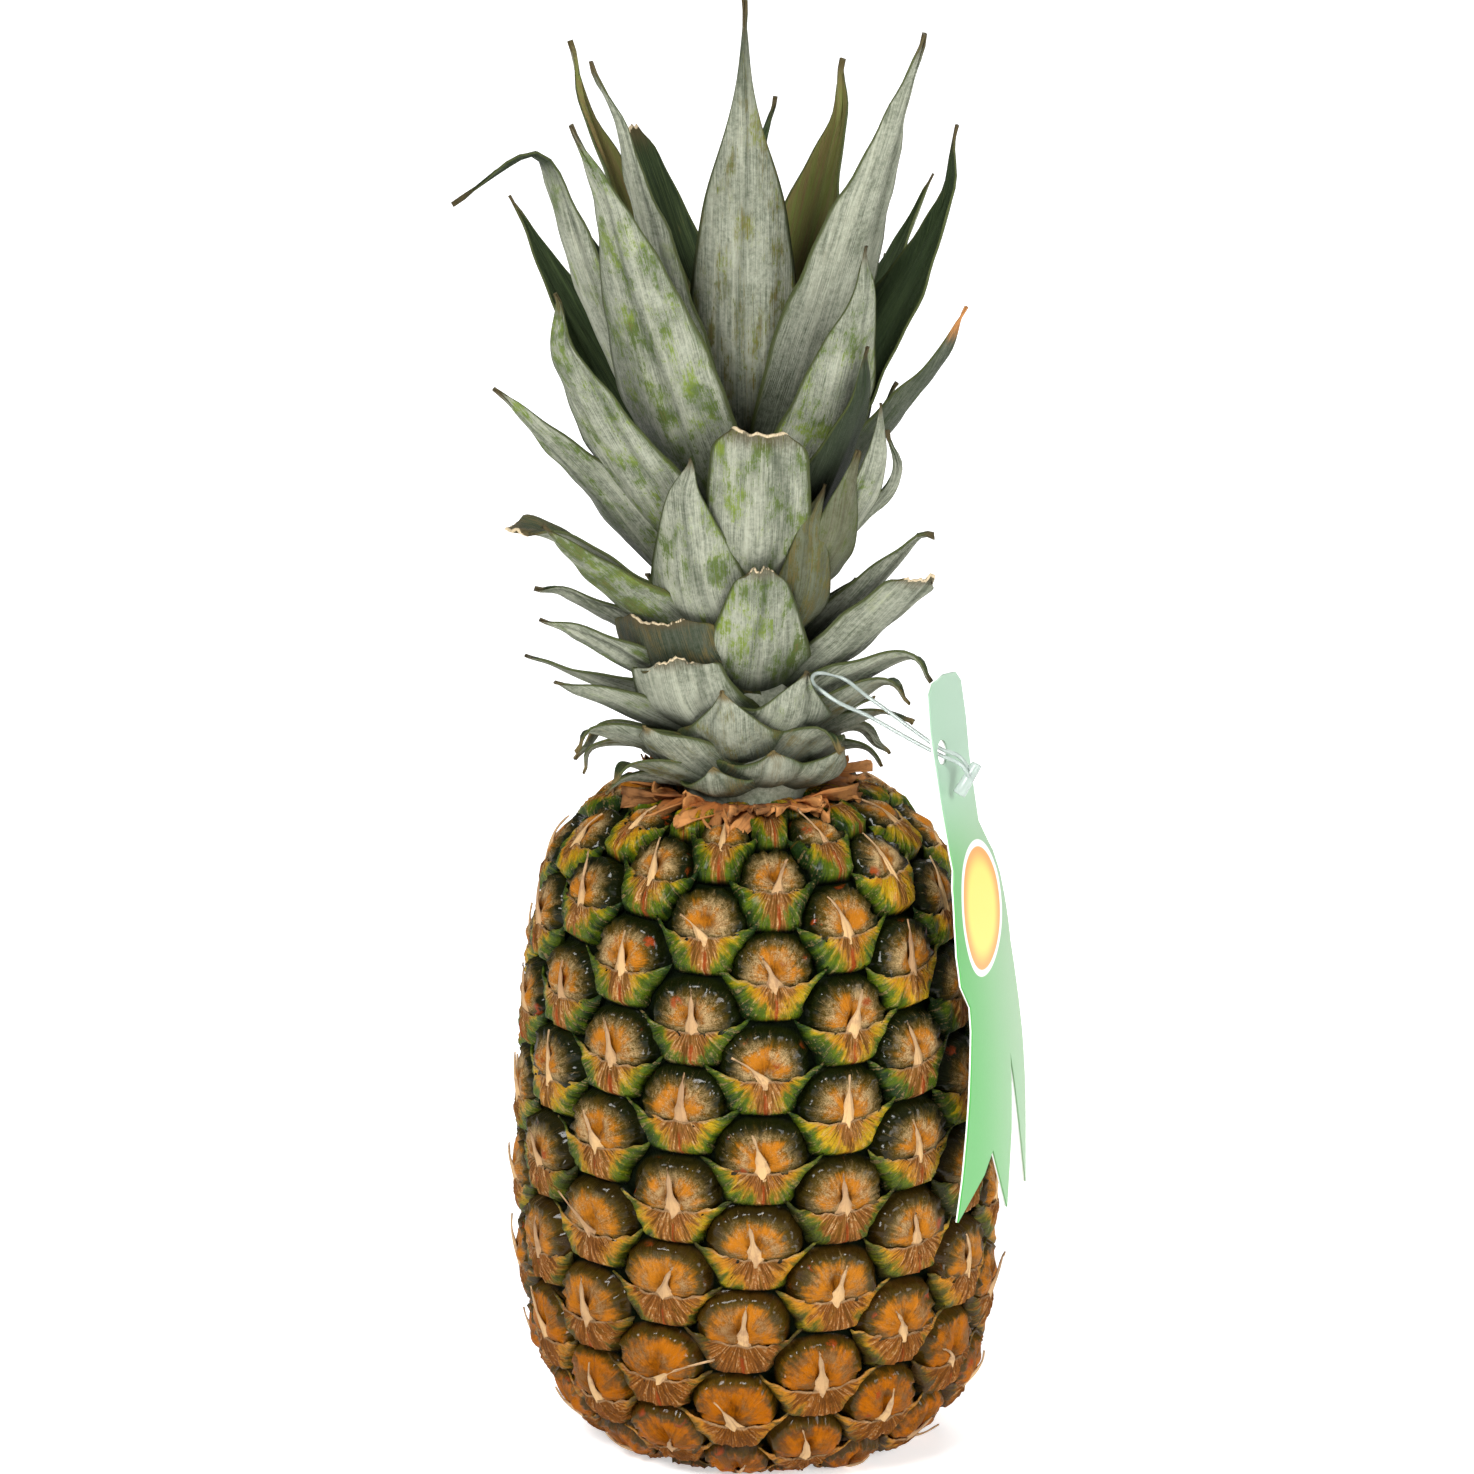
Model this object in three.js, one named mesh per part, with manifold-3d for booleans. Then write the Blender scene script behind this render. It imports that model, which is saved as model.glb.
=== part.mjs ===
import * as THREE from "three";
import { mergeVertices } from "three/addons/utils/BufferGeometryUtils.js";
import Module from "manifold-3d";

const wasm = await Module();
wasm.setup();

// A ripe pineapple standing on its flat foot: barrel of fruitlets, leafy crown, collar of dry bracts,
// cut stalk and a hang tag on a clear loop. Millimetres and degrees, +Z up, the front of the fruit faces -Y.
// Azimuth 0 is the front, and azimuths grow towards +X.

// Driving dimensions of the barrel
const LEAN = 0.0227;
const BARREL_OUTLINE = [
  [0, -3], [14, -2.6], [27, -0.6], [36, 3], [44, 8.5], [50, 16], [54, 25], [57, 42], [58, 65],
  [57.5, 85], [56, 106], [53.5, 127], [50.5, 142], [46.5, 152], [40, 160], [31, 166], [18, 169.5], [0, 170.5],
];
const REFERENCE_RADIUS = 57;
const FOOT_HEIGHT = 0;
const GAP = 0.35;
const SMALLEST_DETAIL = 0.06;

// The fruitlets follow one spiral: each one turns by this angle and rises by this much along the skin
const SPIRAL_TURN = -42.2;
const SPIRAL_RISE = 1.36;
const ROW_A = 8;
const ROW_B = 9;
const FIRST_AZIMUTH = 1.5;
const FIRST_HEIGHT = 88.5;

// One fruitlet: across, up the skin and out, measured from the foot of its thorn
const FRUITLET_POINTS = [
  [0, 0, 2.7], [-7, -0.2, 2.3], [7, -0.2, 2.3], [-13.8, 2.8, 1.0], [13.8, 2.8, 1.0],
  [-4.8, 5.2, 3.1], [4.8, 5.2, 3.1], [-10.5, 6, 0.6], [10.5, 6, 0.6], [-6, 11.6, 0.4], [6, 11.6, 0.4],
  [-8.5, -5, 1.2], [6.8, -4.6, 1.2], [-1.3, -9.2, 0.4],
];
const [THORN, LIP_L, LIP_R, HORN_L, HORN_R, LOBE_L, LOBE_R, RIM_L, RIM_R, TOP_L, TOP_R, SIDE_L, SIDE_R, TAIL] =
  FRUITLET_POINTS.map((_, index) => index);
const OWN = [0, 0];
const UP_RIGHT = [1, 0];
const UP_LEFT = [0, 1];
const ABOVE = [1, 1];
const FRUITLET_FACES = [
  [THORN, LOBE_R, LOBE_L], [THORN, LOBE_L, LIP_L], [THORN, LIP_R, LOBE_R], [LIP_L, LOBE_L, RIM_L],
  [LIP_R, RIM_R, LOBE_R], [LIP_L, RIM_L, HORN_L], [LIP_R, HORN_R, RIM_R], [LOBE_L, TOP_L, RIM_L],
  [LOBE_R, RIM_R, TOP_R], [LOBE_L, LOBE_R, TOP_R], [LOBE_L, TOP_R, TOP_L],
  [LIP_L, HORN_L, SIDE_L], [LIP_L, SIDE_L, TAIL], [THORN, LIP_L, TAIL],
  [THORN, TAIL, LIP_R], [LIP_R, TAIL, SIDE_R], [LIP_R, SIDE_R, HORN_R],
].map((face) => face.map((point) => [point, OWN]));
const GROOVE_FACES = [
  [[HORN_R, OWN], [SIDE_L, UP_RIGHT], [RIM_R, OWN]],
  [[RIM_R, OWN], [SIDE_L, UP_RIGHT], [TOP_R, OWN]],
  [[SIDE_L, UP_RIGHT], [HORN_L, UP_RIGHT], [TOP_R, OWN]],
  [[TOP_R, OWN], [HORN_L, UP_RIGHT], [TAIL, ABOVE]],
  [[TOP_R, OWN], [TAIL, ABOVE], [TOP_L, OWN]],
  [[TOP_L, OWN], [TAIL, ABOVE], [HORN_R, UP_LEFT]],
  [[TOP_L, OWN], [HORN_R, UP_LEFT], [SIDE_R, UP_LEFT]],
  [[TOP_L, OWN], [SIDE_R, UP_LEFT], [RIM_L, OWN]],
  [[RIM_L, OWN], [SIDE_R, UP_LEFT], [HORN_L, OWN]],
  [[HORN_R, OWN], [TAIL, UP_RIGHT], [SIDE_L, UP_RIGHT]],
  [[HORN_L, OWN], [SIDE_R, UP_LEFT], [TAIL, UP_LEFT]],
];
const THORN_SIZE = { half: 2.6, length: 12, lift: 3.6, depth: 1.6 };

// Crown and its stem
const CROWN_BASE = 166;
const CROWN_OUTLINE = [[0, 0], [15, 0], [16.5, 8], [17.5, 22], [15, 45], [10, 70], [5, 92], [0, 100]];
const BLADE_THICKNESS = 1.5;
const ROLL_TO_FRONT = 26;
// Leaves that the front shows, lowest first: azimuth, path of [distance from the axis, height], width,
// blunt, the share of the width left where the tip has broken off, and turn, how far the blade rolls round
// its own length; without a turn of its own, a leaf rolls its outer face towards the front
const FRONT_LEAVES = [
  { at: -65, path: [[14, 171.5], [27, 175], [34, 176], [39, 173.5]], wide: 13 },
  { at: -18, path: [[13, 171], [22, 175], [25, 182]], wide: 24 },
  { at: -55, path: [[13, 171], [25, 177], [36, 182], [42, 180]], wide: 18 },
  { at: 50, path: [[13, 171.5], [25, 177], [31, 186]], wide: 22 },
  { at: 17, path: [[13, 173], [22, 178.5], [26, 187]], wide: 28 },
  { at: -105, path: [[12, 174], [26, 181], [37, 182], [43, 172]], wide: 14 },
  { at: 110, path: [[12, 174], [24, 181], [31, 181], [36, 173]], wide: 12 },
  { at: -45, path: [[13, 172], [24, 181], [32, 188], [38, 193]], wide: 27 },
  { at: 42, path: [[13, 175], [24, 185], [31, 190.5], [35, 188]], wide: 27 },
  { at: -82, path: [[12, 176], [26, 181.5], [38, 182], [43, 176.5]], wide: 14 },
  { at: 85, path: [[12, 176], [24, 180.5], [30, 180.5], [34, 176]], wide: 13 },
  { at: -10, path: [[13, 178], [25, 190], [29, 203]], wide: 30 },
  { at: -62, path: [[12, 178], [28, 184], [44, 191], [50, 188.5]], wide: 17 },
  { at: 80, path: [[12, 180], [26, 187], [35, 191], [41, 187]], wide: 16 },
  { at: 65, path: [[12, 182], [28, 195], [38, 202], [46, 199.5]], wide: 19 },
  { at: -64, path: [[12, 184], [26, 190], [40, 198], [54, 204]], wide: 19 },
  { at: 26, path: [[12, 184], [26, 194], [31, 208]], wide: 28 },
  { at: -35, path: [[12, 184], [27, 197], [33, 211]], wide: 29, blunt: 0.5 },
  { at: -78, path: [[12, 188.5], [28, 195], [42, 201], [56, 209]], wide: 16 },
  { at: 62, path: [[12, 188], [32, 203], [46, 210.5], [53, 206]], wide: 19 },
  { at: -44, path: [[12, 191.5], [27, 205.5], [34, 221]], wide: 30, blunt: 0.7 },
  { at: 58, path: [[12, 194], [32, 212], [52, 233]], wide: 20, blunt: 0.5 },
  { at: -62, path: [[12, 194], [28, 203], [44, 214], [58, 223]], wide: 19 },
  { at: 6, path: [[12, 196], [28, 214], [34, 238]], wide: 28, blunt: 0.35 },
  { at: -72, path: [[12, 201.5], [33, 215.5], [48, 225], [56, 229]], wide: 15 },
  { at: 66, path: [[12, 202], [34, 226], [46, 240], [51, 241]], wide: 16 },
  { at: -53, path: [[12, 203], [34, 222], [50, 237], [64, 249]], wide: 22 },
  { at: -66, path: [[12, 206], [40, 232], [54, 242], [64, 245]], wide: 19, blunt: 0.5, turn: -8 },
  { at: -25, path: [[12, 206], [29, 226], [35, 246], [40, 267]], wide: 29 },
  { at: 28, path: [[12, 208], [30, 228], [35, 258]], wide: 17 },
  { at: -60, path: [[12, 214], [32, 240], [52, 264], [71, 283]], wide: 22 },
  { at: 38, path: [[12, 214], [34, 240], [40, 256], [43, 267]], wide: 17 },
  { at: 7, path: [[12, 216], [32, 243], [40, 275]], wide: 28, blunt: 0.6 },
  { at: 46, path: [[12, 218], [36, 248], [45, 266], [44, 280]], wide: 15 },
  { at: -45, path: [[11, 220], [38, 255], [58, 285], [73, 312]], wide: 25 },
  { at: 42, path: [[11, 222], [34, 262], [48, 294]], wide: 20, turn: 4 },
  { at: 60, path: [[12, 222], [36, 248], [43, 258], [44, 270]], wide: 9 },
  { at: 62, path: [[10, 228], [34, 262], [52, 286], [61, 302]], wide: 18, turn: 12 },
  { at: 40, path: [[10, 230], [30, 265], [42, 298], [50, 323]], wide: 25 },
  { at: -100, path: [[10, 232], [32, 270], [46, 295], [60, 321]], wide: 16, turn: 0 },
  { at: -35, path: [[9, 234], [34, 275], [52, 318], [70, 359]], wide: 29 },
  { at: 72, path: [[10, 236], [30, 278], [48, 315], [58, 346]], wide: 18, turn: -14 },
  { at: -75, path: [[9, 238], [30, 275], [44, 310], [51, 336], [62, 339], [76, 328]], wide: 19 },
  { at: 110, path: [[9, 238], [26, 275], [40, 305], [51, 324]], wide: 18, turn: 0 },
  { at: -50, path: [[8, 244], [22, 285], [34, 325], [46, 368]], wide: 18, turn: 0 },
  { at: 50, path: [[8, 244], [26, 290], [42, 335], [57, 377]], wide: 26 },
  { at: -3, path: [[7, 246], [18, 290], [16, 335], [10, 378]], wide: 27 },
  { at: -120, path: [[7, 248], [24, 290], [40, 325], [54, 355]], wide: 17, turn: 0 },
  { at: -150, path: [[6, 248], [26, 285], [45, 310], [59, 327]], wide: 18, blunt: 0.3, turn: 0 },
  { at: 150, path: [[6, 248], [25, 290], [42, 322], [56, 344]], wide: 20, turn: 0 },
  { at: 165, path: [[5, 250], [9, 300], [12, 346]], wide: 10, turn: 0 },
];
// The leaves of the far side follow a rule: golden-angle steps over this sector, growing longer upwards
const BACK_LEAVES = { count: 22, from: 124, sector: 112, golden: 0.618, low: 173, step: 3.2 };

// Collar of dry bracts round the neck, stalk stub, hang tag and its loop
const COLLAR = { bracts: 18, inner: 18.6, root: 23, z: 171.6, tip: 39, width: 8, thickness: 1.3 };
const POCKET_RADIUS = 18;
const STUB_RADIUS = 13;
const STUB_HEIGHT = 5;
const CARD_THICKNESS = 0.8;
const CARD_AZIMUTH = 67.5;
// The card's distance from the axis by height, and its outline as [across, height]
const CARD_CURVE = [[60, 62.6], [100, 63.8], [132, 62.6], [150, 60.2], [166, 56.9], [190, 53.3], [208, 50.5]];
const CARD_OUTLINE = [
  [-16.5, 205], [-18.3, 196], [-18.4, 191], [-17.9, 178], [-17.1, 168], [-17, 160], [-19.3, 156.5], [-22, 147.5],
  [-23.7, 140], [-23, 132], [-18, 125], [-17.7, 118.8], [-20, 101], [-22, 88.6], [-23.3, 81], [-26, 71],
  [-9.4, 78.2], [-3.9, 83.2], [7.4, 64.5], [8.4, 84.7], [7.7, 95.5], [6.6, 105.8], [19.5, 67.4], [17, 92.7],
  [14.7, 109.2], [12, 123], [9.8, 134], [9.5, 146], [9, 152], [7.6, 158], [2.4, 167.3], [2.4, 185], [3.6, 194],
  [3.8, 203], [1.3, 205.8], [-5.8, 207.2], [-13.5, 207],
];
const CARD_HOLE = { across: -13.6, height: 189.5, radius: 3.1 };
const CARD_ROWS = 18;
const LOOP_RADIUS = 0.55;
// Both strands of the loop pass through the card's hole, and it goes round the foot of a leaf in the crown
const LOOP_PATH = [
  [51.6, -33.2, 183.3], [49.3, -33.2, 188.1], [44.7, -32.7, 190.1], [37.5, -29.2, 194.1], [27, -22.5, 200],
  [17, -16.5, 204.5], [12.5, -19, 204.5], [16.5, -23.2, 201], [27, -26.6, 196.5], [37.5, -31.2, 191.8],
  [44.4, -33.8, 188.9], [49.5, -34.8, 186.7],
];
const CLASP = { centre: [51.2, -33.2, 182.5], along: [5, 2.5, 8], radius: 1.7, length: 9 };

const TAU = Math.PI * 2;
const radians = (degrees) => degrees * Math.PI / 180;
const direction = (azimuth) => new THREE.Vector3(Math.sin(radians(azimuth)), -Math.cos(radians(azimuth)), 0);

// Turns a closed geometry into a solid that can be joined and cut
function solid(geometry) {
  const plain = geometry.index ? geometry.toNonIndexed() : geometry.clone();
  plain.deleteAttribute("normal");
  plain.deleteAttribute("uv");
  const merged = mergeVertices(plain, 1e-4);
  const index = Array.from(merged.index.array);
  const triangles = [];
  for (let i = 0; i < index.length; i += 3) {
    const [a, b, c] = index.slice(i, i + 3);
    if (a !== b && b !== c && c !== a) triangles.push(a, b, c);
  }
  return new wasm.Manifold(new wasm.Mesh({
    numProp: 3,
    vertProperties: new Float32Array(merged.attributes.position.array),
    triVerts: new Uint32Array(triangles),
  }));
}

function geometryFrom(body) {
  const mesh = body.getMesh();
  const positions = new Float32Array(mesh.numVert * 3);
  for (let i = 0; i < mesh.numVert; i += 1) {
    for (let axis = 0; axis < 3; axis += 1) positions[i * 3 + axis] = mesh.vertProperties[i * mesh.numProp + axis];
  }
  const geometry = new THREE.BufferGeometry();
  geometry.setAttribute("position", new THREE.BufferAttribute(positions, 3));
  geometry.setIndex(Array.from(mesh.triVerts));
  geometry.computeVertexNormals();
  return geometry;
}

function joinAll(bodies) {
  return wasm.Manifold.union(bodies).simplify(SMALLEST_DETAIL);
}

// The largest piece of a body, after a trim has left loose scraps
function mainPiece(body) {
  return body.decompose().reduce((best, piece) => (piece.volume() > best.volume() ? piece : best));
}

function surface(points, faces) {
  const geometry = new THREE.BufferGeometry();
  geometry.setAttribute("position", new THREE.Float32BufferAttribute(points.flatMap((p) => [p.x, p.y, p.z]), 3));
  geometry.setIndex(faces.flat());
  return geometry;
}

function turned(outline, sides, height = 0) {
  const geometry = new THREE.LatheGeometry(outline.map(([r, z]) => new THREE.Vector2(r, z)), sides);
  return geometry.rotateX(Math.PI / 2).translate(0, 0, height);
}

// Barrel skin: distance along the outline gives radius and height, and the axis leans a little
const outlineCurve = new THREE.SplineCurve(BARREL_OUTLINE.map(([r, z]) => new THREE.Vector2(r, z)));
const OUTLINE_STEPS = 400;
outlineCurve.arcLengthDivisions = OUTLINE_STEPS;
const outlineLength = outlineCurve.getLength();
const firstAlong = alongAtHeight(FIRST_HEIGHT);

function alongAtHeight(height) {
  for (let i = 0; i <= OUTLINE_STEPS; i += 1) {
    if (outlineCurve.getPointAt(i / OUTLINE_STEPS).y >= height) return outlineLength * i / OUTLINE_STEPS;
  }
  return outlineLength;
}

function skinPoint(azimuth, along, out) {
  const share = THREE.MathUtils.clamp(along / outlineLength, 0, 1);
  const spot = outlineCurve.getPointAt(share);
  const slope = outlineCurve.getTangentAt(share);
  const fade = THREE.MathUtils.smoothstep(share, 0.06, 0.16) * (1 - THREE.MathUtils.smoothstep(share, 0.82, 0.9));
  const reach = share > 0 && share < 1 ? Math.max(spot.x + slope.y * out * fade, 0) : 0;
  const height = spot.y - slope.x * out * fade;
  return direction(azimuth).multiplyScalar(reach).add(new THREE.Vector3(-LEAN * height, 0, height));
}

const rowStep = (row) => {
  const turn = SPIRAL_TURN * row;
  return { turn: turn - 360 * Math.round(turn / 360), rise: SPIRAL_RISE * row };
};
const stepA = rowStep(ROW_A);
const stepB = rowStep(ROW_B);

// Place on the skin of a point of the fruitlet that stands a steps up one row and b up the other
function fruitletPlace(a, b, across, up) {
  const azimuth = FIRST_AZIMUTH + a * stepA.turn + b * stepB.turn + across / REFERENCE_RADIUS * 180 / Math.PI;
  return { azimuth, along: firstAlong + a * stepA.rise + b * stepB.rise + up };
}

function fruitletRange() {
  const cells = [];
  const reachDown = firstAlong + 40;
  const reachUp = outlineLength - firstAlong + 40;
  for (let a = 0; a < ROW_B; a += 1) {
    const lowest = Math.floor((-reachDown - a * stepA.rise) / stepB.rise);
    const highest = Math.ceil((reachUp - a * stepA.rise) / stepB.rise);
    for (let b = lowest; b <= highest; b += 1) cells.push([a, b]);
  }
  return cells;
}

function barrelSkin() {
  const points = [];
  const faces = [];
  for (const [a, b] of fruitletRange()) {
    for (const face of [...FRUITLET_FACES, ...GROOVE_FACES]) {
      const corners = face.map(([point, [da, db]]) => {
        const [across, up, out] = FRUITLET_POINTS[point];
        let [rowA, rowB] = [a + da, b + db];
        if (rowA === ROW_B) [rowA, rowB] = [0, rowB + ROW_A];
        const place = fruitletPlace(rowA, rowB, across, up);
        return skinPoint(place.azimuth, place.along, out);
      });
      faces.push(corners.map((_, i) => points.length + i));
      points.push(...corners);
    }
  }
  return solid(surface(points, faces));
}

// A dry pointed flake that stands up over the fruitlet above the lip
function thorn(azimuth, along, bend, flat) {
  const { half, length, lift, depth } = THORN_SIZE;
  const side = half / REFERENCE_RADIUS * 180 / Math.PI;
  const points = [
    skinPoint(azimuth - side, along - 0.6, 1.9),
    skinPoint(azimuth + side, along - 0.6, 1.9),
    skinPoint(azimuth, along + 1.2, -depth),
    skinPoint(azimuth, along - 1.8, 3.0),
    skinPoint(azimuth + bend, along + length, flat ? 3.4 : 2.4 + lift),
  ];
  return solid(surface(points, [[0, 1, 4], [1, 2, 4], [2, 0, 4], [0, 2, 1]]));
}

// Seeded noise from 0 to 1
function seeded(index, salt) {
  const value = Math.sin(index * 127.1 + salt * 311.7) * 43758.5453;
  return value - Math.floor(value);
}

function underCard(azimuth, height) {
  const turn = ((azimuth - CARD_AZIMUTH + 540) % 360 + 360) % 360 - 180;
  return Math.abs(turn) < 34 && height > 55;
}

function fruit() {
  const thorns = [];
  fruitletRange().forEach(([a, b], index) => {
    const { azimuth, along } = fruitletPlace(a, b, 0, 0);
    if (along < 22 || along > outlineLength - 34) return;
    const height = skinPoint(azimuth, along, 0).z;
    thorns.push(thorn(azimuth, along, (seeded(index, 1) - 0.5) * 6, underCard(azimuth, height)));
  });
  const skin = barrelSkin();
  const below = solid(new THREE.BoxGeometry(200, 200, 40).translate(0, 0, FOOT_HEIGHT - 20));
  const neckX = -LEAN * CROWN_BASE;
  const pocket = solid(new THREE.CylinderGeometry(POCKET_RADIUS, POCKET_RADIUS, 40, 32)
    .rotateX(Math.PI / 2).translate(neckX, 0, CROWN_BASE - GAP + 20));
  const stalkPocket = solid(new THREE.CylinderGeometry(STUB_RADIUS + GAP, STUB_RADIUS + GAP, 20, 32)
    .rotateX(Math.PI / 2).translate(0, 0, STUB_HEIGHT + GAP - 10));
  return joinAll([skin, ...thorns]).subtract(below).subtract(pocket).subtract(stalkPocket);
}

// Width of a leaf from root to tip, as a share of its full width
function leafWidth(share, blunt, low) {
  const root = low ? 0.9 : 0.72;
  const widest = low ? 0.25 : 0.38;
  const rise = root + (1 - root) * Math.sin(Math.min(share / widest, 1) * Math.PI / 2);
  const fall = share > widest ? 1 - ((share - widest) / (1 - widest)) ** (low ? 1.5 : 1.35) : 1;
  return rise * (blunt + (1 - blunt) * fall);
}

// A blade of arched section along its path, closed at its root and tip
function leaf({ at, path, wide, blunt = 0, turn = 0, thickness = BLADE_THICKNESS }) {
  const outward = direction(at);
  const sideways = new THREE.Vector3(-outward.y, outward.x, 0);
  const curve = new THREE.CatmullRomCurve3(path.map(([r, z]) => new THREE.Vector3(r, 0, z)));
  const length = curve.getLength();
  const stations = path.length > 5 ? 8 : length > 60 ? 6 : 4;
  const low = path[0][1] < 230;
  const points = [];
  const faces = [];
  for (let i = 0; i <= stations; i += 1) {
    const share = i / stations;
    const spot = curve.getPointAt(share);
    const slope = curve.getTangentAt(share);
    const outer = outward.clone().multiplyScalar(slope.z).add(new THREE.Vector3(0, 0, -slope.x)).normalize();
    const roll = radians(turn * Math.min(share * 3, 1));
    const across = sideways.clone().multiplyScalar(Math.cos(roll)).addScaledVector(outer, Math.sin(roll));
    outer.multiplyScalar(Math.cos(roll)).addScaledVector(sideways, -Math.sin(roll));
    const middle = outward.clone().multiplyScalar(spot.x).add(new THREE.Vector3(-LEAN * CROWN_BASE, 0, spot.z));
    const width = wide * leafWidth(share, blunt, low);
    const arch = width * (0.26 - 0.1 * share);
    const last = i === stations && blunt === 0;
    if (last) {
      points.push(middle);
      break;
    }
    points.push(
      middle.clone().addScaledVector(across, -width / 2).addScaledVector(outer, -arch),
      middle.clone().addScaledVector(outer, thickness / 2),
      middle.clone().addScaledVector(across, width / 2).addScaledVector(outer, -arch),
      middle.clone().addScaledVector(outer, -thickness / 2),
    );
  }
  const rings = blunt === 0 ? stations : stations + 1;
  for (let i = 0; i + 1 < rings; i += 1) {
    for (let side = 0; side < 4; side += 1) {
      const [a, b] = [i * 4 + side, i * 4 + (side + 1) % 4];
      faces.push([a, b, b + 4], [a, b + 4, a + 4]);
    }
  }
  faces.push([0, 3, 2], [0, 2, 1]);
  const end = (rings - 1) * 4;
  if (blunt === 0) {
    for (let side = 0; side < 4; side += 1) faces.push([end + side, end + (side + 1) % 4, end + 4]);
  } else {
    faces.push([end, end + 1, end + 2], [end, end + 2, end + 3]);
  }
  return solid(surface(points, faces));
}

function backLeaves() {
  const leaves = [];
  for (let i = 0; i < BACK_LEAVES.count; i += 1) {
    const at = BACK_LEAVES.from + (i * BACK_LEAVES.golden % 1) * BACK_LEAVES.sector;
    const root = BACK_LEAVES.low + i * BACK_LEAVES.step;
    const rise = i / BACK_LEAVES.count;
    const reach = 38 + 20 * rise;
    const top = root + 14 + 62 * rise;
    const inner = 12 - 5 * rise;
    leaves.push({
      at,
      path: [[inner, root], [inner + (reach - inner) * 0.45, root + (top - root) * (0.55 - 0.1 * rise)], [reach, top]],
      wide: 17 + 4 * Math.sin(i),
    });
  }
  return leaves;
}

function crown() {
  const stem = solid(turned(CROWN_OUTLINE, 16, CROWN_BASE).translate(-LEAN * CROWN_BASE, 0, 0));
  const front = FRONT_LEAVES.map((item) => ({ turn: ROLL_TO_FRONT * Math.sin(radians(item.at)), ...item }));
  const leaves = [...front, ...backLeaves()].map(leaf);
  return joinAll([stem, ...leaves]);
}

// Dry bracts that curl out of a thin ring round the neck
function collar() {
  const { bracts, inner, root, z, tip, width, thickness } = COLLAR;
  const ring = [[inner, z - 1], [root + 2, z - 1.6], [root + 2, z - 0.4], [inner, z + 0.4], [inner, z - 1]];
  const bodies = [solid(turned(ring, 24).translate(-LEAN * CROWN_BASE, 0, 0))];
  for (let i = 0; i < bracts; i += 1) {
    const reach = tip - 6 * seeded(i, 2);
    const height = 1 + 4 * seeded(i, 3);
    bodies.push(leaf({
      at: 360 * (i + 0.3 * seeded(i, 4)) / bracts,
      path: [[root - 2, z - 0.7], [root + 6, z - 1.4], [reach, z - 5 + height]],
      wide: width,
      thickness,
    }));
  }
  return joinAll(bodies);
}

// The tag: a flat outline with a hole, cut into rows and bent to its curve against the flank
function card() {
  const shape = new THREE.Shape(CARD_OUTLINE.map(([x, y]) => new THREE.Vector2(x, y)));
  const hole = new THREE.Path();
  hole.absarc(CARD_HOLE.across, CARD_HOLE.height, CARD_HOLE.radius, 0, TAU, true);
  shape.holes.push(hole);
  const flat = solid(new THREE.ExtrudeGeometry(shape, { depth: CARD_THICKNESS, bevelEnabled: false, curveSegments: 12 }));
  const heights = CARD_OUTLINE.map(([, height]) => height);
  const [low, high] = [Math.min(...heights), Math.max(...heights)];
  const rowHeight = (high - low) / CARD_ROWS;
  const rows = [];
  for (let i = 0; i < CARD_ROWS; i += 1) {
    const slab = new THREE.BoxGeometry(80, rowHeight, 10).translate(0, low + rowHeight * (i + 0.5), 0);
    rows.push(flat.intersect(solid(slab)));
  }
  const geometry = geometryFrom(joinAll(rows));
  const curve = new THREE.SplineCurve(CARD_CURVE.map(([z, d]) => new THREE.Vector2(z, d)));
  const normal = direction(CARD_AZIMUTH);
  const across = new THREE.Vector3(-normal.y, normal.x, 0);
  const position = geometry.attributes.position;
  for (let i = 0; i < position.count; i += 1) {
    const height = position.getY(i);
    const share = (height - CARD_CURVE[0][0]) / (CARD_CURVE.at(-1)[0] - CARD_CURVE[0][0]);
    const distance = curveDistance(curve, height, share) + position.getZ(i);
    const point = normal.clone().multiplyScalar(distance).addScaledVector(across, position.getX(i));
    position.setXYZ(i, point.x, point.y, height);
  }
  return solid(geometry);
}

function curveDistance(curve, height, guess) {
  let [low, high] = [0, 1];
  for (let i = 0; i < 30; i += 1) {
    const middle = (low + high) / 2;
    if (curve.getPoint(middle).x < height) low = middle;
    else high = middle;
  }
  return curve.getPoint(guess < 0 ? 0 : low).y;
}

function tube(points, radius, sides, steps) {
  const path = new THREE.CatmullRomCurve3(points.map((p) => new THREE.Vector3(...p)), true);
  const section = new THREE.Shape(Array.from({ length: sides }, (_, i) => new THREE.Vector2(
    radius * Math.cos(TAU * i / sides), radius * Math.sin(TAU * i / sides))));
  return solid(new THREE.ExtrudeGeometry(section, { extrudePath: path, steps, bevelEnabled: false }));
}

// The clear loop is one moulding: a closed strand and the little barrel that locks its end
function loop(grow = 0) {
  const strand = tube(LOOP_PATH, LOOP_RADIUS + grow, 6, 38);
  const barrel = new THREE.CylinderGeometry(CLASP.radius + grow, CLASP.radius + grow, CLASP.length + grow * 2, 10);
  const turn = new THREE.Quaternion().setFromUnitVectors(
    new THREE.Vector3(0, 1, 0), new THREE.Vector3(...CLASP.along).normalize());
  barrel.applyQuaternion(turn).translate(...CLASP.centre);
  return strand.add(solid(barrel));
}

const finish = (color, roughness) => new THREE.MeshStandardMaterial({ color, roughness, metalness: 0 });

function part(name, body, color, roughness) {
  const mesh = new THREE.Mesh(geometryFrom(body), finish(color, roughness));
  mesh.name = name;
  return mesh;
}

// The leaves are trimmed clear of the loop that passes between them
const barrel = fruit();
const loopRoom = loop(GAP);
const leafyCrown = mainPiece(crown().subtract(loopRoom));
const dryCollar = collar();

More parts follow.
